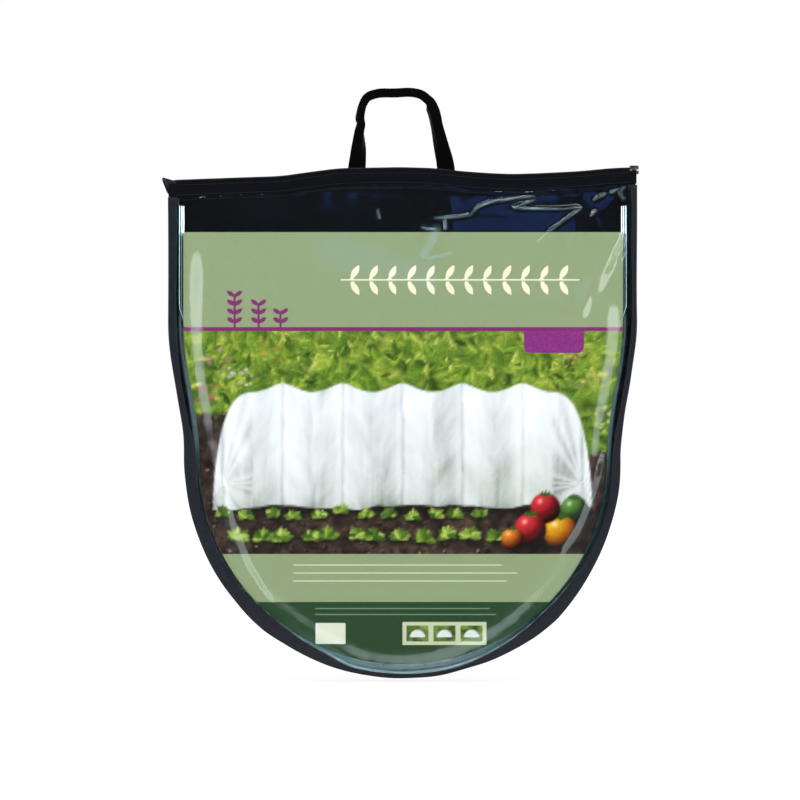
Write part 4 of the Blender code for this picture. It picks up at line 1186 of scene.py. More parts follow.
# Plasticised vinyl: clear, faintly blue-grey through its thickness, glossy, and slightly dull where
# it has been rubbed. Light passes straight through, and the mirror is Fresnel's alone. A milky diffuse adds
# painted highlights along the creases and the seam, and the see-through colour darkens towards the seam as
# painted shade.
clear_vinyl, tree = new_material("clear_plasticised_vinyl")
place = add_node(tree, "ShaderNodeTexCoord").outputs["Object"]
rubbed = add_node(
    tree, "ShaderNodeTexNoise", {"Vector": place, "Scale": 18.0, "Detail": 6.0, "Roughness": 0.65}
)
fine = add_node(tree, "ShaderNodeTexNoise", {"Vector": place, "Scale": 140.0, "Detail": 3.0})
orange_peel = add_node(tree, "ShaderNodeBump", {"Height": fine, "Strength": 0.12, "Distance": 0.00008})
back_side = add_node(tree, "ShaderNodeNewGeometry").outputs["Backfacing"]
index = add_node(tree, "ShaderNodeMix", {"Factor": back_side, 2: 1.5, 3: 1 / 1.5})
mirror_share = add_node(tree, "ShaderNodeFresnel", {"IOR": index, "Normal": orange_peel})
rough = add_node(tree, "ShaderNodeMapRange", {"Value": rubbed, "To Min": 0.05, "To Max": 0.14})
# Painted shade: towards the seam the see-through colour runs from clear through sea-green to near black,
# darkening what lies behind the film.
tint_and_shade_read = add_node(tree, "ShaderNodeAttribute", attribute_name="seam_tint_and_shade")
tint_and_shade_ramp = add_node(tree, "ShaderNodeValToRGB", {0: tint_and_shade_read.outputs["Fac"]})
tint_and_shade_ramp.color_ramp.elements[0].color = linear("#F5F7F7")
tint_and_shade_ramp.color_ramp.elements[1].color = linear("#16303C")
for position, colour in ((0.12, "#BFDCDC"), (0.45, "#6A989C")):
    tint_and_shade_ramp.color_ramp.elements.new(position).color = linear(colour)
seen_through = add_node(tree, "ShaderNodeBsdfTransparent", {"Color": tint_and_shade_ramp})
mirrored = add_node(
    tree, "ShaderNodeBsdfGlossy",
    {"Color": (1, 1, 1, 1), "Roughness": rough, "Normal": orange_peel},
)
# Painted highlight: this pale blue-white diffuse, laid in by the mesh's milky share, brightens the creases
# and the seam; the rubbed haze is the vinyl's real wear.
haze_and_highlight_diffuse = add_node(tree, "ShaderNodeBsdfDiffuse", {"Color": linear("#B4DCE6")})
rubbed_haze = add_node(tree, "ShaderNodeMapRange", {"Value": rubbed, "To Min": 0.0005, "To Max": 0.004})
milk_and_highlight = add_node(tree, "ShaderNodeAttribute", attribute_name="milky_and_highlight")
haze_and_highlight_share = add_node(tree, "ShaderNodeMath", {0: rubbed_haze, 1: milk_and_highlight.outputs["Fac"]}, operation="ADD")
body = add_node(tree, "ShaderNodeMixShader", {0: haze_and_highlight_share, 1: seen_through, 2: haze_and_highlight_diffuse})
whole = add_node(tree, "ShaderNodeMixShader", {0: mirror_share, 1: body, 2: mirrored})
add_node(tree, "ShaderNodeOutputMaterial", {"Surface": whole})
film = made_piece(
    "clear_front_film", points, grid_faces(*x.shape), clear_vinyl, "bag", ["front_film"], "clear_film"
)
# Vinyl looks sea-green where it turns into the seam and is seen through more of its thickness, and the bag's
# inside behind it lies in shade. Both are painted into the film's see-through colour, from none over the card
# to all at the binding, and less at the top of the sides and the middle of the bottom. The mesh carries that
# and the milky share.
seam_inset = 0.0140
tint_and_shade_share = 1 - near_edge / np.maximum(seam_inset - binding_width(x, z), 0.001)
tint_and_shade_share = np.clip(tint_and_shade_share, 0, 1) * (below > 0.004) * (1 - 0.75 * ramp(z - 0.35, 0.02))
tint_and_shade_share *= 1 - 0.7 * hump(x, 0.105, 4) * (z < 0.1)
for attribute, values in (("seam_tint_and_shade", tint_and_shade_share), ("milky_and_highlight", milky_and_highlight)):
    film.data.attributes.new(attribute, "FLOAT", "POINT").data.foreach_set("value", values.ravel())

# Card: the printed insert, offset litho on 0.4 mm white board under a thin varnish, cut to the bag's
# D. Bands of sage, a plum rule and dark green frame a garden scene: a row cover in side view, a hedge
# and dug soil. It has no lettering, and its back is bare board.
card_inset = 0.0135
card_top = 0.446
card_corner = 0.002
card_face = 0.0269
card_thickness = 0.0004
print_bottom, print_top = 0.124, 0.347
lower_band = 0.076
rule_height = 0.004
ink_step = 0.0017
line_half = 0.0006
text_lines = (
    (0.113, -0.11, 0.10, "#D5D9B4"), (0.105, -0.11, 0.115, "#D5D9B4"), (0.097, -0.11, 0.105, "#D5D9B4"),
    (0.0695, -0.088, 0.088, "#6E8C6B"), (0.0635, -0.088, 0.094, "#6E8C6B"),
)
# The rows of the mesh carry the ink, so a pair of rows lies close together along each straight edge.
card_radius = bag_radius - card_inset
round_rows = bag_radius - card_radius * np.cos(np.linspace(0.02, 0.9, 100))
corner_rows = card_top - card_corner * (1 - np.sin(np.linspace(0, math.pi / 2, 6)))
edges = [lower_band, print_bottom, print_top, print_top + rule_height]
edges += [height + way * line_half for height, *_ in text_lines for way in (-1, 1)]
crisp_rows = np.array([edge + way for edge in edges for way in (-0.00003, 0.00003)])
side_rows = np.arange(round_rows[-1] + ink_step, corner_rows[0] - 0.0005, ink_step)
plain_rows = np.concatenate([round_rows, side_rows])
plain_rows = plain_rows[np.abs(plain_rows[:, None] - crisp_rows[None, :]).min(axis=1) > 0.0004]
heights = np.sort(np.concatenate([plain_rows, crisp_rows, corner_rows]))
reach = np.where(
    heights < bag_radius, np.sqrt(np.maximum(card_radius**2 - (bag_radius - heights) ** 2, 0)),
    half_width(heights) - card_inset,
)
over_corner = np.clip(heights - card_top + card_corner, 0, card_corner)
reach = reach - card_corner + np.sqrt(card_corner**2 - over_corner**2)
columns = 241
# Its left edge falls a little short of the gauge, so the hoops' wires show beside it.
left_short = 0.0013
x = np.linspace(-1, 1, columns)[None, :] * (reach[:, None] - left_short / 2) + left_short / 2
z = np.repeat(heights[:, None], columns, axis=1)


# The print's layers are mixed as screen colours.
sage = "#95A47C"
print_inks = np.broadcast_to(ink(sage), (*x.shape, 3)).copy()
# How much of the press's tooth shows: in flat inks, in the scene and in its pale cover.
flat_grain, scene_grain, cover_grain = 0.05, 0.30, 0.10
grain = np.full(x.shape, flat_grain)
chances = np.random.default_rng(11)


def lay(mask, colour, where=(slice(None), slice(None))):
    """Lays ink over what is printed so far, by a mask from 0 to 1."""
    print_inks[where] += np.asarray(mask, float)[..., None] * (colour - print_inks[where])


def tones(value, *inks):
    """Colours that run evenly through some inks as a value goes from 0 to 1."""
    table = np.array([ink(each) for each in inks])
    return np.stack([np.interp(value, np.linspace(0, 1, len(inks)), table[:, k]) for k in range(3)], -1)


def patches(size, seed, tall=1.0, octaves=4, lean=0.0):
    """Soft random patches from 0 to 1, of a size in metres."""
    total, share, whole = np.zeros(x.shape), 1.0, 0.0
    for octave in range(octaves):
        lattice = np.random.default_rng(seed + octave).random((64, 64))
        u = (x + lean) / size * 2**octave + 31.7
        v = z / size / tall * 2**octave + 17.3
        i, j = np.floor(u).astype(int), np.floor(v).astype(int)
        a, b = eased(u - i), eased(v - j)
        i, j, k, m = i % 64, j % 64, (i + 1) % 64, (j + 1) % 64
        low = lattice[i, j] * (1 - a) + lattice[k, j] * a
        high = lattice[i, m] * (1 - a) + lattice[k, m] * a
        total, whole, share = total + share * (low * (1 - b) + high * b), whole + share, share * 0.55
    return np.clip((total / whole - 0.5) * 1.7 + 0.5, 0, 1)


def near(place_x, place_z, size):
    """The part of the card's mesh within a size of a place."""
    rows = np.searchsorted(heights, (place_z - size, place_z + size))
    middle_row = min(rows[0], len(heights) - 1)
    step = 2 * reach[middle_row] / (columns - 1)
    column = (place_x + reach[middle_row]) / step
    spread = size / step + 2
    return slice(rows[0], rows[1]), slice(max(0, int(column - spread)), max(0, int(column + spread) + 1))


def lay_leaf(place_x, place_z, length, width, turn, colour, soft=0.5, shade=0.0):
    """One leaf or petal: an almond with a soft edge, shaded across its midrib."""
    where = near(place_x, place_z, max(length, width))
    off_x, off_z = x[where] - place_x, z[where] - place_z
    along = (off_x * math.cos(turn) + off_z * math.sin(turn)) / length
    across = (off_z * math.cos(turn) - off_x * math.sin(turn)) / width
    mask = ramp(1 - along**2 - np.abs(across), soft)
    lay(mask, colour * (1 + shade * np.sign(across))[..., None], where)


# Hedge, out of focus: shaded depths, then soft leaves, nearer ones sharper, then beds of blossom.
depths_of_hedge = ("#1D2A0E", "#33491A", "#56702A", "#7F9440", "#A3AE5E")
lay(1.0 + 0 * x, tones(patches(0.05, 1) * 0.7 + (z - 0.2) * 1.6, *depths_of_hedge))
hedge = ("#2C4214", "#4A6B1E", "#6E8F2C", "#95A93C", "#BCC15A")
for count, long, wide, soft, low in (
    (420, 0.016, 0.010, 1.0, 0.215), (620, 0.010, 0.0042, 0.8, 0.205), (520, 0.0075, 0.0026, 0.5, 0.20),
):
    for _ in range(count):
        px, pz = chances.uniform(-0.225, 0.225), low + (print_top - low) * chances.random() ** 0.8
        tone = np.clip(chances.normal(0.45, 0.24) + (pz - 0.27) * 1.8, 0, 1)
        size = chances.uniform(0.6, 1.25)
        turn = chances.uniform(0, math.pi)
        lay_leaf(px, pz, long * size, wide * size, turn, tones(tone, *hedge), soft, 0.08)
for bed_x, bed_z, petal in (
    (-0.190, 0.318, "#C98A94"), (-0.165, 0.302, "#D7D3C2"), (-0.198, 0.286, "#B9555F"),
    (-0.135, 0.326, "#C9A24A"), (0.198, 0.300, "#CFC36B"), (0.170, 0.318, "#C8A857"),
    (0.205, 0.262, "#D9CF8E"), (0.03, 0.337, "#B8C06A"),
):
    for _ in range(11):
        px, pz = chances.normal(bed_x, 0.008), chances.normal(bed_z, 0.006)
        size = chances.uniform(0.0022, 0.004)
        lay_leaf(px, pz, size, size, 0.0, ink(petal) * chances.uniform(0.8, 1.12), 1.0)
# Soil: dark crumbs with lit tops and a few pale chips, meeting the hedge in a rough edge.
soil_edge = 0.245 - 0.09 * x + 0.022 * (patches(0.02, 21) - 0.5)
crumbs = patches(0.0075, 31, octaves=3) * 0.65 + patches(0.04, 35) * 0.35
soil = ramp(soil_edge - z, 0.004)
lay(soil, tones(crumbs, "#150F0D", "#221916", "#352822", "#4C3A30", "#6B5443"))
for _ in range(420):
    px, pz = chances.uniform(-0.22, 0.22), chances.uniform(print_bottom, 0.235)
    if pz > 0.228 - 0.09 * px:
        continue
    size, pale = chances.uniform(0.0016, 0.004), chances.random()
    lay_leaf(px + size * 0.3, pz - size * 0.4, size, size * 0.8, 0.0, ink("#120C0A"), 0.9)
    crumb = ink("#A58F76" if pale > 0.93 else "#57453A")
    lay_leaf(px, pz, size * 0.8, size * 0.6, chances.uniform(0, 3), crumb, 0.9)
grain = np.where(z < print_top, scene_grain, grain)
# Row cover: fleece drawn tight over its hoops, hollow between them, each end gathered to its cord.
cover_base, cover_peak, cover_reach, hoop_step = 0.172, 0.124, 0.150, 0.060
bay = x / hoop_step
from_hoop = np.abs(bay - np.round(bay)) * hoop_step
past = np.maximum((np.abs(x) - cover_reach) / 0.040, 0)
rounded = np.sqrt(np.maximum(1 - past * past, 0))
crown = (cover_peak - 0.009 * np.abs(np.sin(np.pi * bay)) ** 1.4) * rounded + 1e-9
rise = z - cover_base
share = ramp(rise, crown)
hem_line = 0.006 * (patches(0.03, 41, octaves=2) - 0.5) - 0.002
lay(np.clip(1 - np.abs(rise + 0.004) / 0.009, 0, 1) * (past < 1) * 0.75, ink("#0E0A09"))
folds = patches(0.009, 51, tall=7.0, octaves=3, lean=0.10 * (z - 0.29) * np.sin(2 * np.pi * bay))
creases = patches(0.020, 57, tall=2.2, octaves=4, lean=0.5 * (z - 0.17) * np.sign(np.sin(2 * np.pi * bay)))
tone = 0.52 + 0.30 * share**0.8 + 0.15 * np.cos(2 * np.pi * bay - 0.9)
tone += 0.22 * (folds - 0.5) + 0.40 * (creases - 0.5)
tone -= 0.22 * hump(from_hoop, 0.0015) - 0.10 * hump(from_hoop - 0.0042, 0.002)
turn = np.arctan2(rise - 0.022, cover_reach + 0.030 - np.abs(x))
tone += (past > 0) * (0.13 * np.sin(turn * 17 + 3 * np.sin(turn * 5)) - 0.10 * past)
tone -= 0.20 * np.exp(-np.maximum(rise, 0) / 0.010) + 0.12 * np.exp(-(crown - rise) / 0.003)
fleece = tones(tone, "#7E857E", "#A9AFAB", "#CDD1D1", "#E3E5E7", "#F1F2F4", "#FBFBFC")
seen = 0.16 * patches(0.03, 61) * np.clip(1.3 - share * 1.6, 0, 1)
fleece += seen[..., None] * (ink("#8FA46F") - fleece)
steep = np.hypot(1, cover_peak / 0.040 * past / np.maximum(rounded, 0.06))
cover = ramp(crown - rise, 0.0018 * steep) * ramp(rise - hem_line, 0.0014)
lay(cover, fleece)
grain = np.where(cover > 0.5, cover_grain, grain)
# Lettuces in two rows in front of the cover, each a rosette of leaves over its own shadow.
lettuce = ("#35501B", "#587A27", "#85A43A", "#B2C45C")
for row_z, row_x, size in ((0.163, -0.178, 0.0075), (0.141, -0.166, 0.0095)):
    for number in range(12):
        px, pz = row_x + number * 0.0235 + chances.normal(0, 0.002), row_z + chances.normal(0, 0.0012)
        lay_leaf(px, pz - size * 0.35, size * 1.5, size * 0.6, 0.0, ink("#100B09"), 0.9)
        for turn in chances.permutation(np.linspace(-0.3, math.pi + 0.3, 9)):
            long = size * chances.uniform(0.6, 0.95)
            spot = (px + 0.6 * long * math.cos(turn), pz + 0.45 * long * math.sin(turn))
            lay_leaf(*spot, long, long * 0.5, turn, tones(chances.random(), *lettuce), 0.5, 0.10)
# A heap of ripe fruit beside the row, each a lit ball with its stalk.
lay_leaf(0.143, 0.136, 0.058, 0.016, 0.0, ink("#0E0A08"), 0.8)
for px, pz, size, dark, light in (
    (0.172, 0.168, 0.015, "#1D3A16", "#6C9A45"), (0.158, 0.146, 0.018, "#9A5206", "#F7BC2C"),
    (0.143, 0.170, 0.016, "#6E0D13", "#E0343A"), (0.128, 0.149, 0.017, "#6E0D13", "#E8383E"),
    (0.110, 0.139, 0.012, "#8A3604", "#F2912B"),
):
    where = near(px, pz, size * 1.1)
    off_x, off_z = (x[where] - px) / size, (z[where] - pz) / size
    far = np.hypot(off_x, off_z)
    facing = np.sqrt(np.maximum(1 - far**2, 0))
    lit = np.clip(-0.42 * off_x + 0.55 * off_z + 0.72 * facing, 0, 1)
    lay(ramp(1 - far, 0.12), tones(lit, "#170705", dark, light), where)
    lay(np.clip(1 - np.hypot(off_x + 0.34, off_z - 0.42) / 0.22, 0, 1) * 0.75, ink("#FFFAF0"), where)
    for turn in np.linspace(0.2, 2.9, 5):
        spot = (px + 0.2 * size * math.cos(turn), pz + size * (0.78 + 0.1 * math.sin(turn)))
        lay_leaf(*spot, size * 0.3, size * 0.11, turn, ink("#3C5A22"), 0.5)
# The bands and lines round the scene, and three small pictures in the dark one.
for low, high, colour in (
    (print_top, 1, sage), (print_top, print_top + rule_height, "#83306E"), (-1, print_bottom, sage),
    (-1, lower_band, "#284529"),
):
    band = (z > low) & (z < high)
    lay(band, ink(colour))
    grain = np.where(band, flat_grain, grain)
for height, left, right, colour in text_lines:
    lay((np.abs(z - height) < line_half) * ramp(np.minimum(x - left, right - x), 0.001), ink(colour))
pane_left, pane_half_x, pane_half_z, pane_z = (0.015, 0.042, 0.069), 0.011, 0.008, 0.0445
for left in pane_left:
    pane = (np.abs(x - left) < 0.0125) & (np.abs(z - pane_z) < 0.0095)
    lay(pane, tones(patches(0.006, 71), "#2C4118", "#5C7A2F", "#93A653"))
    arch = 0.0085 - np.hypot(x - left, z - pane_z + 0.004)
    lay(ramp(arch, 0.0015) * (z > pane_z - 0.004), ink("#E6EAEA"))
# Shapes with crisp outlines: their ink, with the depth inside the outline in millimetres as alpha.
outlines = []


def rounded_box(left, right, low, high, corner=0.0):
    """Depth inside an upright box with rounded corners."""
    off_x = np.abs(x - (left + right) / 2) - (right - left) / 2 + corner
    off_z = np.abs(z - (low + high) / 2) - (high - low) / 2 + corner
    outside = np.hypot(np.maximum(off_x, 0), np.maximum(off_z, 0))
    return corner - outside - np.minimum(np.maximum(off_x, off_z), 0)


outlines.append((rounded_box(0.1215, 0.1815, print_top - 0.022, print_top + 0.012, 0.006), "#8A3480"))
stem_z, stem_left, stem_right, leaf_gap, leaf_lean = 0.398, -0.062, 0.178, 0.019, math.radians(58)
sprig = rounded_box(stem_left, stem_right, stem_z - 0.0009, stem_z + 0.0009)
spot = np.mod(x - stem_left, leaf_gap) - leaf_gap / 2
for way in (1, -1):
    up = (z - stem_z) * way
    along = (spot * math.cos(leaf_lean) + up * math.sin(leaf_lean) - 0.0095) / 0.0085
    leaf = 0.0031 * (1 - along**2) - np.abs(up * math.cos(leaf_lean) - spot * math.sin(leaf_lean))
    in_row = (x > stem_left + 0.002) & (x < stem_right - 0.006)
    sprig = np.maximum(sprig, np.where(in_row, leaf, -0.01))
outlines.append((sprig, "#F8F3D4"))
frame_depth = rounded_box(0.0, 0.084, 0.033, 0.056)
for left in pane_left:
    pane = rounded_box(left - pane_half_x, left + pane_half_x, pane_z - pane_half_z, pane_z + pane_half_z)
    frame_depth = np.minimum(frame_depth, -pane)
outlines.append((frame_depth, "#CFD3B0"))
outlines.append((rounded_box(-0.087, -0.057, 0.034, 0.055), "#E4E6D2"))
# Three plum seedlings stand on the rule, each a stem with pairs of leaves.
seedlings = np.full(x.shape, -0.01)
for stem_x, tall in ((-0.168, 0.037), (-0.144, 0.028), (-0.122, 0.020)):
    stem = rounded_box(stem_x - 0.0011, stem_x + 0.0011, print_top, print_top + tall)
    seedlings = np.maximum(seedlings, stem)
    for height in np.arange(0.008, tall, 0.0088):
        for way in (1, -1):
            a, b = way * (x - stem_x), z - print_top - height
            along = (a * 0.80 + b * 0.6 - 0.0050) / 0.0050
            seedlings = np.maximum(seedlings, 0.0022 * (1 - along**2) - np.abs(b * 0.80 - a * 0.6))
outlines.append((seedlings, "#83346E"))
depths = np.array([depth for depth, _ in outlines])
nearest = depths.argmax(axis=0)
line_inks = np.array([ink(colour) for _, colour in outlines])[nearest]
outline_depth = np.clip(depths.max(axis=0), -0.004, 0.004) * 1000
outline_depth = np.where((nearest == 0) & (z > print_top), -4.0, outline_depth)

# Varnished litho board: inks with a faint tooth from the press, under a satin gloss.
card_board, tree = new_material("varnished_litho_board")
place = add_node(tree, "ShaderNodeTexCoord").outputs["Object"]
printed = add_node(tree, "ShaderNodeAttribute", attribute_name="print_inks")
lined = add_node(tree, "ShaderNodeAttribute", attribute_name="line_inks")
edge = add_node(
    tree, "ShaderNodeMapRange", {"Value": lined.outputs["Alpha"], "From Min": -0.25, "From Max": 0.25}
)
inked = add_node(
    tree, "ShaderNodeMix", {"Factor": edge, 6: printed.outputs["Color"], 7: lined.outputs["Color"]},
    data_type="RGBA",
)
tooth = add_node(
    tree, "ShaderNodeTexNoise", {"Vector": place, "Scale": 520.0, "Detail": 3.0, "Roughness": 0.7}
)
spread = add_node(tree, "ShaderNodeMapRange", {"Value": tooth, "From Min": 0.25, "From Max": 0.75})
toothed = add_node(
    tree, "ShaderNodeMix",
    {"Factor": printed.outputs["Alpha"], 6: inked.outputs[2], 7: spread},
    data_type="RGBA", blend_type="OVERLAY",
)
pulp = add_node(tree, "ShaderNodeTexNoise", {"Vector": place, "Scale": 300.0, "Detail": 3.0})
board = add_node(
    tree, "ShaderNodeMix", {"Factor": pulp, 6: linear("#D3CFC4"), 7: linear("#EBE8E1")},
    data_type="RGBA",
)
facing = add_node(tree, "ShaderNodeNewGeometry").outputs["True Normal"]
facing = add_node(tree, "ShaderNodeSeparateXYZ", {0: facing})
front_side = add_node(tree, "ShaderNodeMath", {0: facing.outputs["Y"], 1: -0.5}, operation="LESS_THAN")
sides = add_node(
    tree, "ShaderNodeMix", {"Factor": front_side, 6: board.outputs[2], 7: toothed.outputs[2]},
    data_type="RGBA",
)
rough = add_node(tree, "ShaderNodeMapRange", {"Value": tooth, "To Min": 0.40, "To Max": 0.54})
shader = add_node(
    tree, "ShaderNodeBsdfPrincipled",
    {"Base Color": sides.outputs[2], "Roughness": rough, "IOR": 1.5, "Specular IOR Level": 0.02},
)
add_node(tree, "ShaderNodeOutputMaterial", {"Surface": shader})
# One closed board: the printed face row by row, a cut rim and a plain back.
count = x.size
index = np.arange(count).reshape(x.shape)
loop = np.concatenate([index[0, :-1], index[:-1, -1], index[-1, :0:-1], index[:0:-1, 0]])
front = np.stack([x, np.full(x.shape, -card_face - card_thickness), z], -1).reshape(-1, 3)
back = front[loop] + (0, card_thickness, 0)
rim = count + np.arange(len(loop))
faces = grid_faces(*x.shape).tolist()
faces += np.stack([np.roll(loop, -1), loop, rim, np.roll(rim, -1)], -1).tolist() + [rim[::-1].tolist()]
points = np.vstack([front, back])
card = made_piece(
    "printed_card", points, faces, card_board, "card", ["insert_card"], "printed_card", flat=True
)
for name, inks, alpha in (("print_inks", print_inks, grain), ("line_inks", line_inks, outline_depth)):
    values = np.ones((count + len(loop), 4))
    values[:count, :3], values[:count, 3] = to_linear(inks).reshape(-1, 3), alpha.ravel()
    card.data.attributes.new(name, "FLOAT_COLOR", "POINT").data.foreach_set("color", values.ravel())

# Hoops: seven arches of 3.6 mm galvanised spring wire, packed one behind another. Each is one bent
# wire: an arc, two flaring sides, a step out below the ground hem and a straight cut tip.
wire_radius = 0.0018
wire_sides = 16
hoop_pitch = 0.006
hoop_count = 7
hoop_radius = 0.20775
hoop_flare = 0.0102
step_low, step_high = 0.352, 0.374
leg_reach = 0.22395
leg_tip = 0.473


def hoop_half_width(height):
    """Half the spread of a hoop's legs at a height, steps and all."""
    share = ramp(height - bag_radius, 0.356 - bag_radius)
    out = hoop_radius + hoop_flare * (1 - np.cos(np.pi * share)) / 2
    step = ramp(height - step_low, step_high - step_low)
    return out + (leg_reach - hoop_radius - hoop_flare) * eased(step)


wire_bending, wire_sockets, given = new_group("bent_wire", (
    ("Wire line", "Geometry", None), ("Wire radius", "Float", wire_radius), ("Sides", "Int", wire_sides),
    ("Wire finish", "Material", None),
), "Wire")
line = add_node(wire_bending, "GeometryNodeMeshToCurve", {0: given.outputs["Wire line"]})
section = add_node(
    wire_bending, "GeometryNodeCurvePrimitiveCircle",
    {"Resolution": given.outputs["Sides"], "Radius": given.outputs["Wire radius"]},
)
swept = add_node(
    wire_bending, "GeometryNodeCurveToMesh",
    {"Curve": line, "Profile Curve": section, "Fill Caps": True},
)
smooth = add_node(wire_bending, "GeometryNodeSetShadeSmooth", {0: swept})
dressed = add_node(
    wire_bending, "GeometryNodeSetMaterial", {"Geometry": smooth, "Material": given.outputs["Wire finish"]}
)
add_node(wire_bending, "NodeGroupOutput", {0: dressed})

# Hot-dip galvanised steel: pale zinc in faint spangles, satin, with duller oxide in patches.
galvanised, tree = new_material("galvanised_steel")
place = add_node(tree, "ShaderNodeTexCoord").outputs["Object"]
spangle = add_node(tree, "ShaderNodeTexVoronoi", {"Vector": place, "Scale": 420.0})
oxide = add_node(tree, "ShaderNodeTexNoise", {"Vector": place, "Scale": 60.0, "Detail": 5.0})
tone = add_node(
    tree, "ShaderNodeMix", {"Factor": oxide, 6: linear("#B9C4CC"), 7: linear("#DCE4EA")},
    data_type="RGBA",
)
grain = add_node(tree, "ShaderNodeSeparateXYZ", {0: spangle.outputs["Color"]})
mixed = add_node(tree, "ShaderNodeMath", {0: oxide, 1: grain})
rough = add_node(
    tree, "ShaderNodeMapRange", {"Value": mixed, "From Max": 2.0, "To Min": 0.12, "To Max": 0.26}
)
drawn = add_node(tree, "ShaderNodeBump", {"Height": oxide, "Strength": 0.2, "Distance": 0.0002})
shader = add_node(
    tree, "ShaderNodeBsdfPrincipled",
    {"Base Color": tone.outputs[2], "Metallic": 1.0, "Roughness": rough, "Normal": drawn},
)
add_node(tree, "ShaderNodeOutputMaterial", {"Surface": shader})
up_leg = np.concatenate([
    np.linspace(bag_radius, step_low, 12)[1:], np.linspace(step_low, step_high, 13)[1:],
    [0.40, 0.43, leg_tip - 0.0004],
])
turn = np.linspace(math.pi, 2 * math.pi, 97)
line_x = np.concatenate([-hoop_half_width(up_leg[::-1]), hoop_radius * np.cos(turn), hoop_half_width(up_leg)])
line_z = np.concatenate([up_leg[::-1], bag_radius + hoop_radius * np.sin(turn), up_leg])
leg_share = ramp(line_z - step_low, step_high - step_low)
# The legs of sprung wire don't line up: each hoop's tips stand a little further in or out.
leg_springs = (-0.0002, -0.0022, -0.0038, -0.0012, -0.0030, -0.0006, -0.0018)
for number in range(hoop_count):
    depth = (number - (hoop_count - 1) / 2) * hoop_pitch
    sprung = leg_springs[number] * leg_share * np.sign(line_x) + 0.0005 * leg_share * (line_x > 0)
    line = np.stack([line_x + sprung, np.full(len(line_x), depth), line_z], -1)
    grown(
        f"bent_wire_hoop_{number + 1}", line, wire_bending, {wire_sockets["Wire finish"]: galvanised},
        "tunnel", [f"hoop_{number + 1}"],
    )

# Cover: one length of white 30 g spun-bonded fleece. Each hoop runs in a sewn casing, and between
# two hoops the cloth hangs into the arch as a fold. Packed, the folds are creased and lie in waves.
casing_radius = 0.00255
fold_depth = 0.200
cover_top = 0.350
fleece_thickness = 0.0005
squeeze = 0.895


def leg_spread(height):
    """Half the spread of a bent wire's legs at a height, as straight between its bends."""
    return np.interp(height, up_leg, hoop_half_width(up_leg))


def fleece_line(count):
    """The D path of the hoops from ground hem to ground hem, in about a count of points."""
    side = np.linspace(bag_radius, cover_top, round(count * 0.145))
    turn = np.linspace(math.pi, 2 * math.pi, round(count * 0.71))[1:-1]
    return d_path(side[::-1], turn, side, leg_spread, hoop_radius)


# Spun-bonded polypropylene: random long filaments pressed together by a grid of tiny bond points,
# white, matt and a little see-through. The real points are 1 mm apart and are drawn 1.6 mm apart.
spun_bond, tree = new_material("spun_bonded_polypropylene")
place = add_node(tree, "ShaderNodeTexCoord").outputs["UV"]
fibres = add_node(
    tree, "ShaderNodeTexNoise",
    {"Vector": place, "Scale": 260.0, "Detail": 7.0, "Roughness": 0.7, "Distortion": 1.5},
)
clouds = add_node(tree, "ShaderNodeTexNoise", {"Vector": place, "Scale": 38.0, "Detail": 4.0})
bond = add_node(
    tree, "ShaderNodeTexVoronoi", {"Vector": place, "Scale": 620.0, "Randomness": 0.12},
    voronoi_dimensions="2D",
)
point = add_node(tree, "ShaderNodeMapRange", {"Value": bond, "From Min": 0.12, "From Max": 0.3})
tone = add_node(
    tree, "ShaderNodeMix", {"Factor": clouds, 6: linear("#DFE3E4"), 7: linear("#F1F3F3")},
    data_type="RGBA",
)
tone = add_node(
    tree, "ShaderNodeMix", {"Factor": point, 6: linear("#CFD5D7"), 7: tone.outputs[2]},
    data_type="RGBA",
)
height = add_node(tree, "ShaderNodeMath", {0: fibres, 1: point})
raised = add_node(tree, "ShaderNodeBump", {"Height": height, "Strength": 0.35, "Distance": 0.00012})
rough = add_node(tree, "ShaderNodeMapRange", {"Value": fibres, "To Min": 0.72, "To Max": 0.95})
surface = add_node(
    tree, "ShaderNodeBsdfPrincipled",
    {"Base Color": tone.outputs[2], "Roughness": rough, "Sheen Weight": 0.2, "Normal": raised},
)
glow = add_node(tree, "ShaderNodeBsdfTranslucent", {"Color": linear("#E8ECEC"), "Normal": raised})
mixed = add_node(tree, "ShaderNodeMixShader", {0: 0.18, 1: surface, 2: glow})
add_node(tree, "ShaderNodeOutputMaterial", {"Surface": mixed})

path = fleece_line(count=244)
run = path[4]
fold_steps = fold_depth * np.array([1.0, 0.93, 0.82, 0.68, 0.52, 0.36, 0.22, 0.12, 0.05, 0.012])
around = np.linspace(0, math.pi, 9)
middles = (np.arange(hoop_count) - (hoop_count - 1) / 2) * hoop_pitch
one_ply = np.full(len(fold_steps), casing_radius)
round_wire = np.concatenate([-one_ply, -casing_radius * np.cos(around), one_ply])
one_fold = np.concatenate([fold_steps, -casing_radius * np.sin(around), fold_steps[::-1]])
insets = np.tile(one_fold, hoop_count)[None, :]
depths = (middles[:, None] + round_wire).reshape(1, -1)
along = run[:, None]
loose = ramp(insets, 0.03)
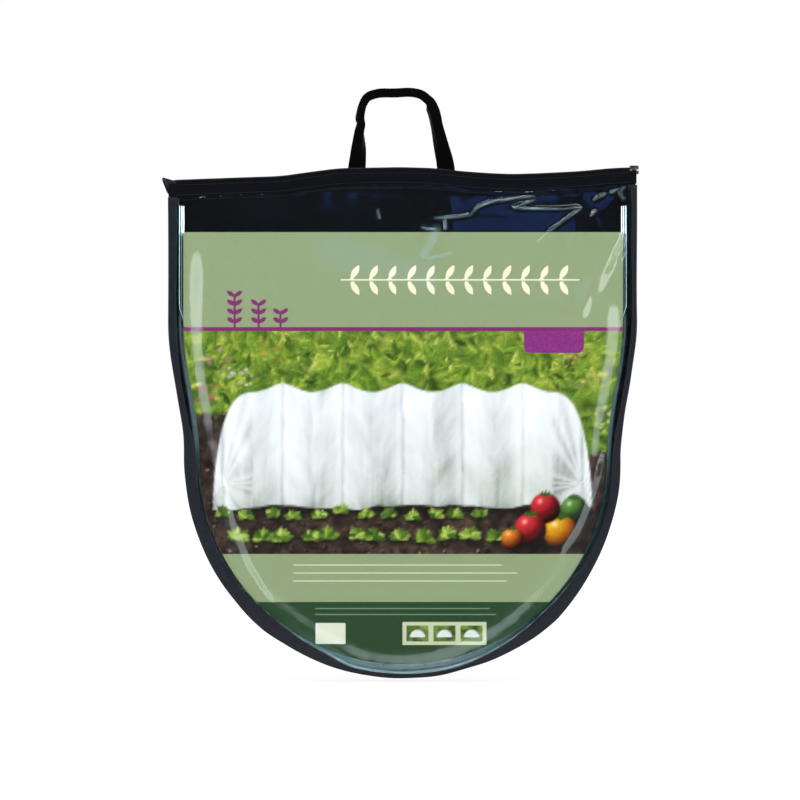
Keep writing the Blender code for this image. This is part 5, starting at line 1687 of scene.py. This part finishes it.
# Flat plies wave together, so they never cross; each fold's end is shorter or longer here and there.
waves = np.sin(along * 2 * math.pi / 0.030 + 3 * np.sin(insets * 14 + along * 7))
wave = (0.0009 + 0.0055 * insets) * waves * loose
wave += 0.0004 * np.sin(along * 310 + insets * 160) * loose
drift = 0.004 * np.sin(along * 23 + depths * 400) * ramp(insets - 0.12, 0.08)
insets_now = np.minimum(insets - np.abs(drift), fold_depth)
depths_now = depths * (1 - (1 - squeeze) * loose) + wave
crush = 0.0003 * np.sin(along * 420 + depths * 900) * (insets < 0)
points = swept_on_edge(path, insets_now + crush, depths_now)
hem = np.minimum(run, run[-1] - run)[:, None]
points[..., 2] += 0.0016 * np.sin(insets * 95 + depths * 700) * np.clip(1 - hem / 0.02, 0, 1) * loose
uv = uv_grid(run, run_along(insets[0], depths[0]))
cover = made_piece(
    "folded_fleece_cover", points, grid_faces(*points.shape[:2]), spun_bond, "tunnel", ["fleece_cover"],
    "white_fleece", uv,
)
thicken(cover, fleece_thickness)

# Gathered ends: the same fleece, drawn in from each end hoop to a neck by a cord. It gathers in
# pleats that fold over one another more and more towards the neck, packed flat against the folds.
pleats = 24
neck_radius = 0.009
pleat_thickness = 0.0003
neck_height = 0.250
skirt_low, skirt_high = 0.02135, 0.02335
cord_layer = 0.02535
rim_x, rim_z, _, _, rim_run = fleece_line(count=700)
ring_shares = np.concatenate([np.linspace(0, 0.94, 30) ** 0.92, [0.965, 0.985, 1.0]])
# One pleat runs forward, back under itself and forward again: 0, 1, 2 and 3 are its turns.
bends = np.array([0.0, 0.35, 0.72, 0.93, 1.0, 1.35, 1.72, 1.93, 2.0, 2.35, 2.7])
going, returning, leaving = (np.clip(bends - turn, 0, 1) for turn in range(3))
lifts = np.interp(bends, (0, 1, 2, 2.35, 2.7), (0, 0.12, 0.88, 0.922, 0.76))
number = np.arange(pleats)[:, None]
for side, name in ((-1, "front"), (1, "back")):
    rows = []
    for t in ring_shares:
        rim_part = rim_run[-1] * (1 - t) + 2 * math.pi * neck_radius * t
        advance = rim_part / pleats
        length = min(rim_run[-1] / pleats, 3.0 * advance)
        forward, back = (length + advance) / 4, (length - advance) / 2
        folded = (length - advance) / length
        back = back * (1 + 0.3 * np.sin(number * 2.4 + 0.7) * math.sin(math.pi * t))
        at = forward * going - back * returning + (advance - forward + back) * leaving
        where = np.append(ramp(number * advance + at, rim_part), 1.0)
        lift = np.append(np.tile(lifts * folded, pleats), 0.0)
        rx, rz = (np.interp(where * rim_run[-1], rim_run, rim) for rim in (rim_x, rim_z))
        angle = math.pi / 2 + math.radians(6) + (2 * math.pi - math.radians(12)) * where
        nx, nz = neck_radius * np.cos(angle), neck_height + neck_radius * np.sin(angle)
        wander = 0.0028 * np.sin(math.pi * t) * np.sin(where * 61 + 6 * t)
        px = rx + (nx - rx) * t + wander * -np.sin(angle)
        pz = rz + (nz - rz) * t + wander * np.cos(angle)
        depth = skirt_low + (skirt_high - skirt_low) * np.clip(lift, 0, 1) * min(1.0, 2.6 * folded)
        depth = depth + 0.00025 * np.sin(where * 150 + 9 * t) * (1 - folded)
        rows.append(np.stack([px, side * depth, pz], -1))
    # The cloth closes over the neck in a few rings more.
    for shrink, out in ((0.88, 0.45), (0.72, 0.85), (0.5, 1.0), (0.2, 0.9)):
        last = rows[len(ring_shares) - 1].copy()
        last[:, 0] *= shrink
        last[:, 2] = neck_height + (last[:, 2] - neck_height) * shrink
        last[:, 1] += side * (cord_layer - skirt_high) * out
        rows.append(last)
    points = np.array(rows)
    steps_in = np.linalg.norm(np.diff(points, axis=0), axis=2).mean(axis=1)
    round_rim = np.arange(points.shape[1]) / points.shape[1] * rim_run[-1]
    uv = uv_grid(np.concatenate([[0], np.cumsum(steps_in)]), round_rim)[..., ::-1]
    faces = grid_faces(*points.shape[:2])
    end = made_piece(
        f"{name}_gathered_end", points, faces if side > 0 else faces[:, ::-1], spun_bond, "tunnel",
        [f"{name}_end_skirt"], "white_fleece", uv,
    )
    thicken(end, pleat_thickness)

# Drawcords: 2.5 mm black braided polyester, two turns round each neck, tied in an overhand knot with
# two short ends that lie on the fleece, their tips sealed by heat.
cord_radius = 0.00125
knot_radius = 0.0028
# The cord is drawn tight in its knot.
pulled_radius = 0.00085
braid, tree = new_material("braided_polyester_cord")
place = add_node(tree, "ShaderNodeSeparateXYZ", {0: add_node(tree, "ShaderNodeTexCoord").outputs["UV"]})
strands = []
for slant in (8.0, -8.0):
    way = add_node(
        tree, "ShaderNodeMath", {0: place.outputs["Y"], 1: slant, 2: place.outputs["X"]},
        operation="MULTIPLY_ADD",
    )
    wound = add_node(tree, "ShaderNodeMath", {0: way, 1: 2 * math.pi}, operation="MULTIPLY")
    strands.append(add_node(tree, "ShaderNodeMath", {0: wound}, operation="SINE"))
plait = add_node(tree, "ShaderNodeMath", {0: strands[0], 1: strands[1]}, operation="MAXIMUM")
# Painted highlight and shade: the strands' crests are painted lighter and the grooves between them darker.
tone = add_node(tree, "ShaderNodeMapRange", {"Value": plait, "From Min": -1.0, "To Min": 0.0, "To Max": 1.0})
tone = add_node(
    tree, "ShaderNodeMix", {"Factor": tone, 6: linear("#060608"), 7: linear("#16161A")},
    data_type="RGBA",
)
raised = add_node(tree, "ShaderNodeBump", {"Height": plait, "Strength": 0.6, "Distance": 0.0002})
rough = add_node(tree, "ShaderNodeMapRange", {"Value": plait, "From Min": -1.0, "To Min": 0.7, "To Max": 0.5})
shader = add_node(
    tree, "ShaderNodeBsdfPrincipled",
    {"Base Color": tone.outputs[2], "Roughness": rough, "Specular IOR Level": 0.2, "Normal": raised},
)
add_node(tree, "ShaderNodeOutputMaterial", {"Surface": shader})


def braided(name, line, radius, node):
    """A braided cord along a line, its tips drawn in; UV is the strands' lay and the turn round it."""
    line = np.asarray(line, float)
    sides = 12
    across, up = carried_frame(line)
    turn = np.linspace(0, 2 * math.pi, sides + 1)
    size = np.full(len(line), radius)
    size[[0, -1]] = radius * 0.25
    size[[1, -2]] = radius * 0.85
    ring = across[:, None] * np.cos(turn)[None, :, None] + up[:, None] * np.sin(turn)[None, :, None]
    points = line[:, None] + ring * size[:, None, None]
    uv = uv_grid(run_along(*line.T) / 0.0012 / 8, turn / (2 * math.pi))
    last = (len(line) - 1) * (sides + 1)
    faces = grid_faces(len(line), sides + 1).tolist()
    faces += [[*range(sides)], [*range(last + sides - 1, last - 1, -1)]]
    face_outwards(made_piece(name, points, faces, braid, "tunnel", [node], "black_drawcord", uv))


cord_turns = 2
turn_pitch = 2 * cord_radius + sewn_gap
turns = np.linspace(0, cord_turns, 97)
angle = 2 * math.pi * turns - math.pi / 2
reach = neck_radius + sewn_gap + cord_radius + turn_pitch * turns
knot_height = neck_height - neck_radius - sewn_gap - 2 * cord_radius
knot_height -= cord_turns * turn_pitch + sewn_gap + knot_radius
knot_turn = np.linspace(0, 2 * math.pi, 61)
lobe = (knot_radius - 0.0009) / 3
tail_points = 25
tail_length = 0.026
share = np.linspace(0, 1, tail_points)
for side, name in ((-1, "front"), (1, "back")):
    depth = side * cord_layer
    line = np.stack([reach * np.cos(angle), 0 * angle + depth, neck_height + reach * np.sin(angle)], -1)
    braided(f"{name}_braided_drawcord", line, cord_radius, f"{name}_drawcord")
    line = np.stack([
        lobe * (np.sin(knot_turn) + 2 * np.sin(2 * knot_turn)), depth - 0.0004 * np.sin(3 * knot_turn),
        knot_height + lobe * (np.cos(knot_turn) - 2 * np.cos(2 * knot_turn)),
    ], -1)
    braided(f"{name}_overhand_knot", line, pulled_radius, f"{name}_drawcord_knot")
    for way, label in ((-1, "left"), (1, "right")):
        bow = knot_radius * 0.6 + 0.011 * np.sin(share * math.pi / 2)
        wave = 0.0006 * np.sin(share * 9 + way)
        fall = knot_height - knot_radius - sewn_gap - tail_length * share + wave
        line = np.stack([way * bow, np.full(tail_points, depth), fall], -1)
        braided(f"{name}_{label}_cord_tail", line, cord_radius, f"{name}_{label}_cord_end")
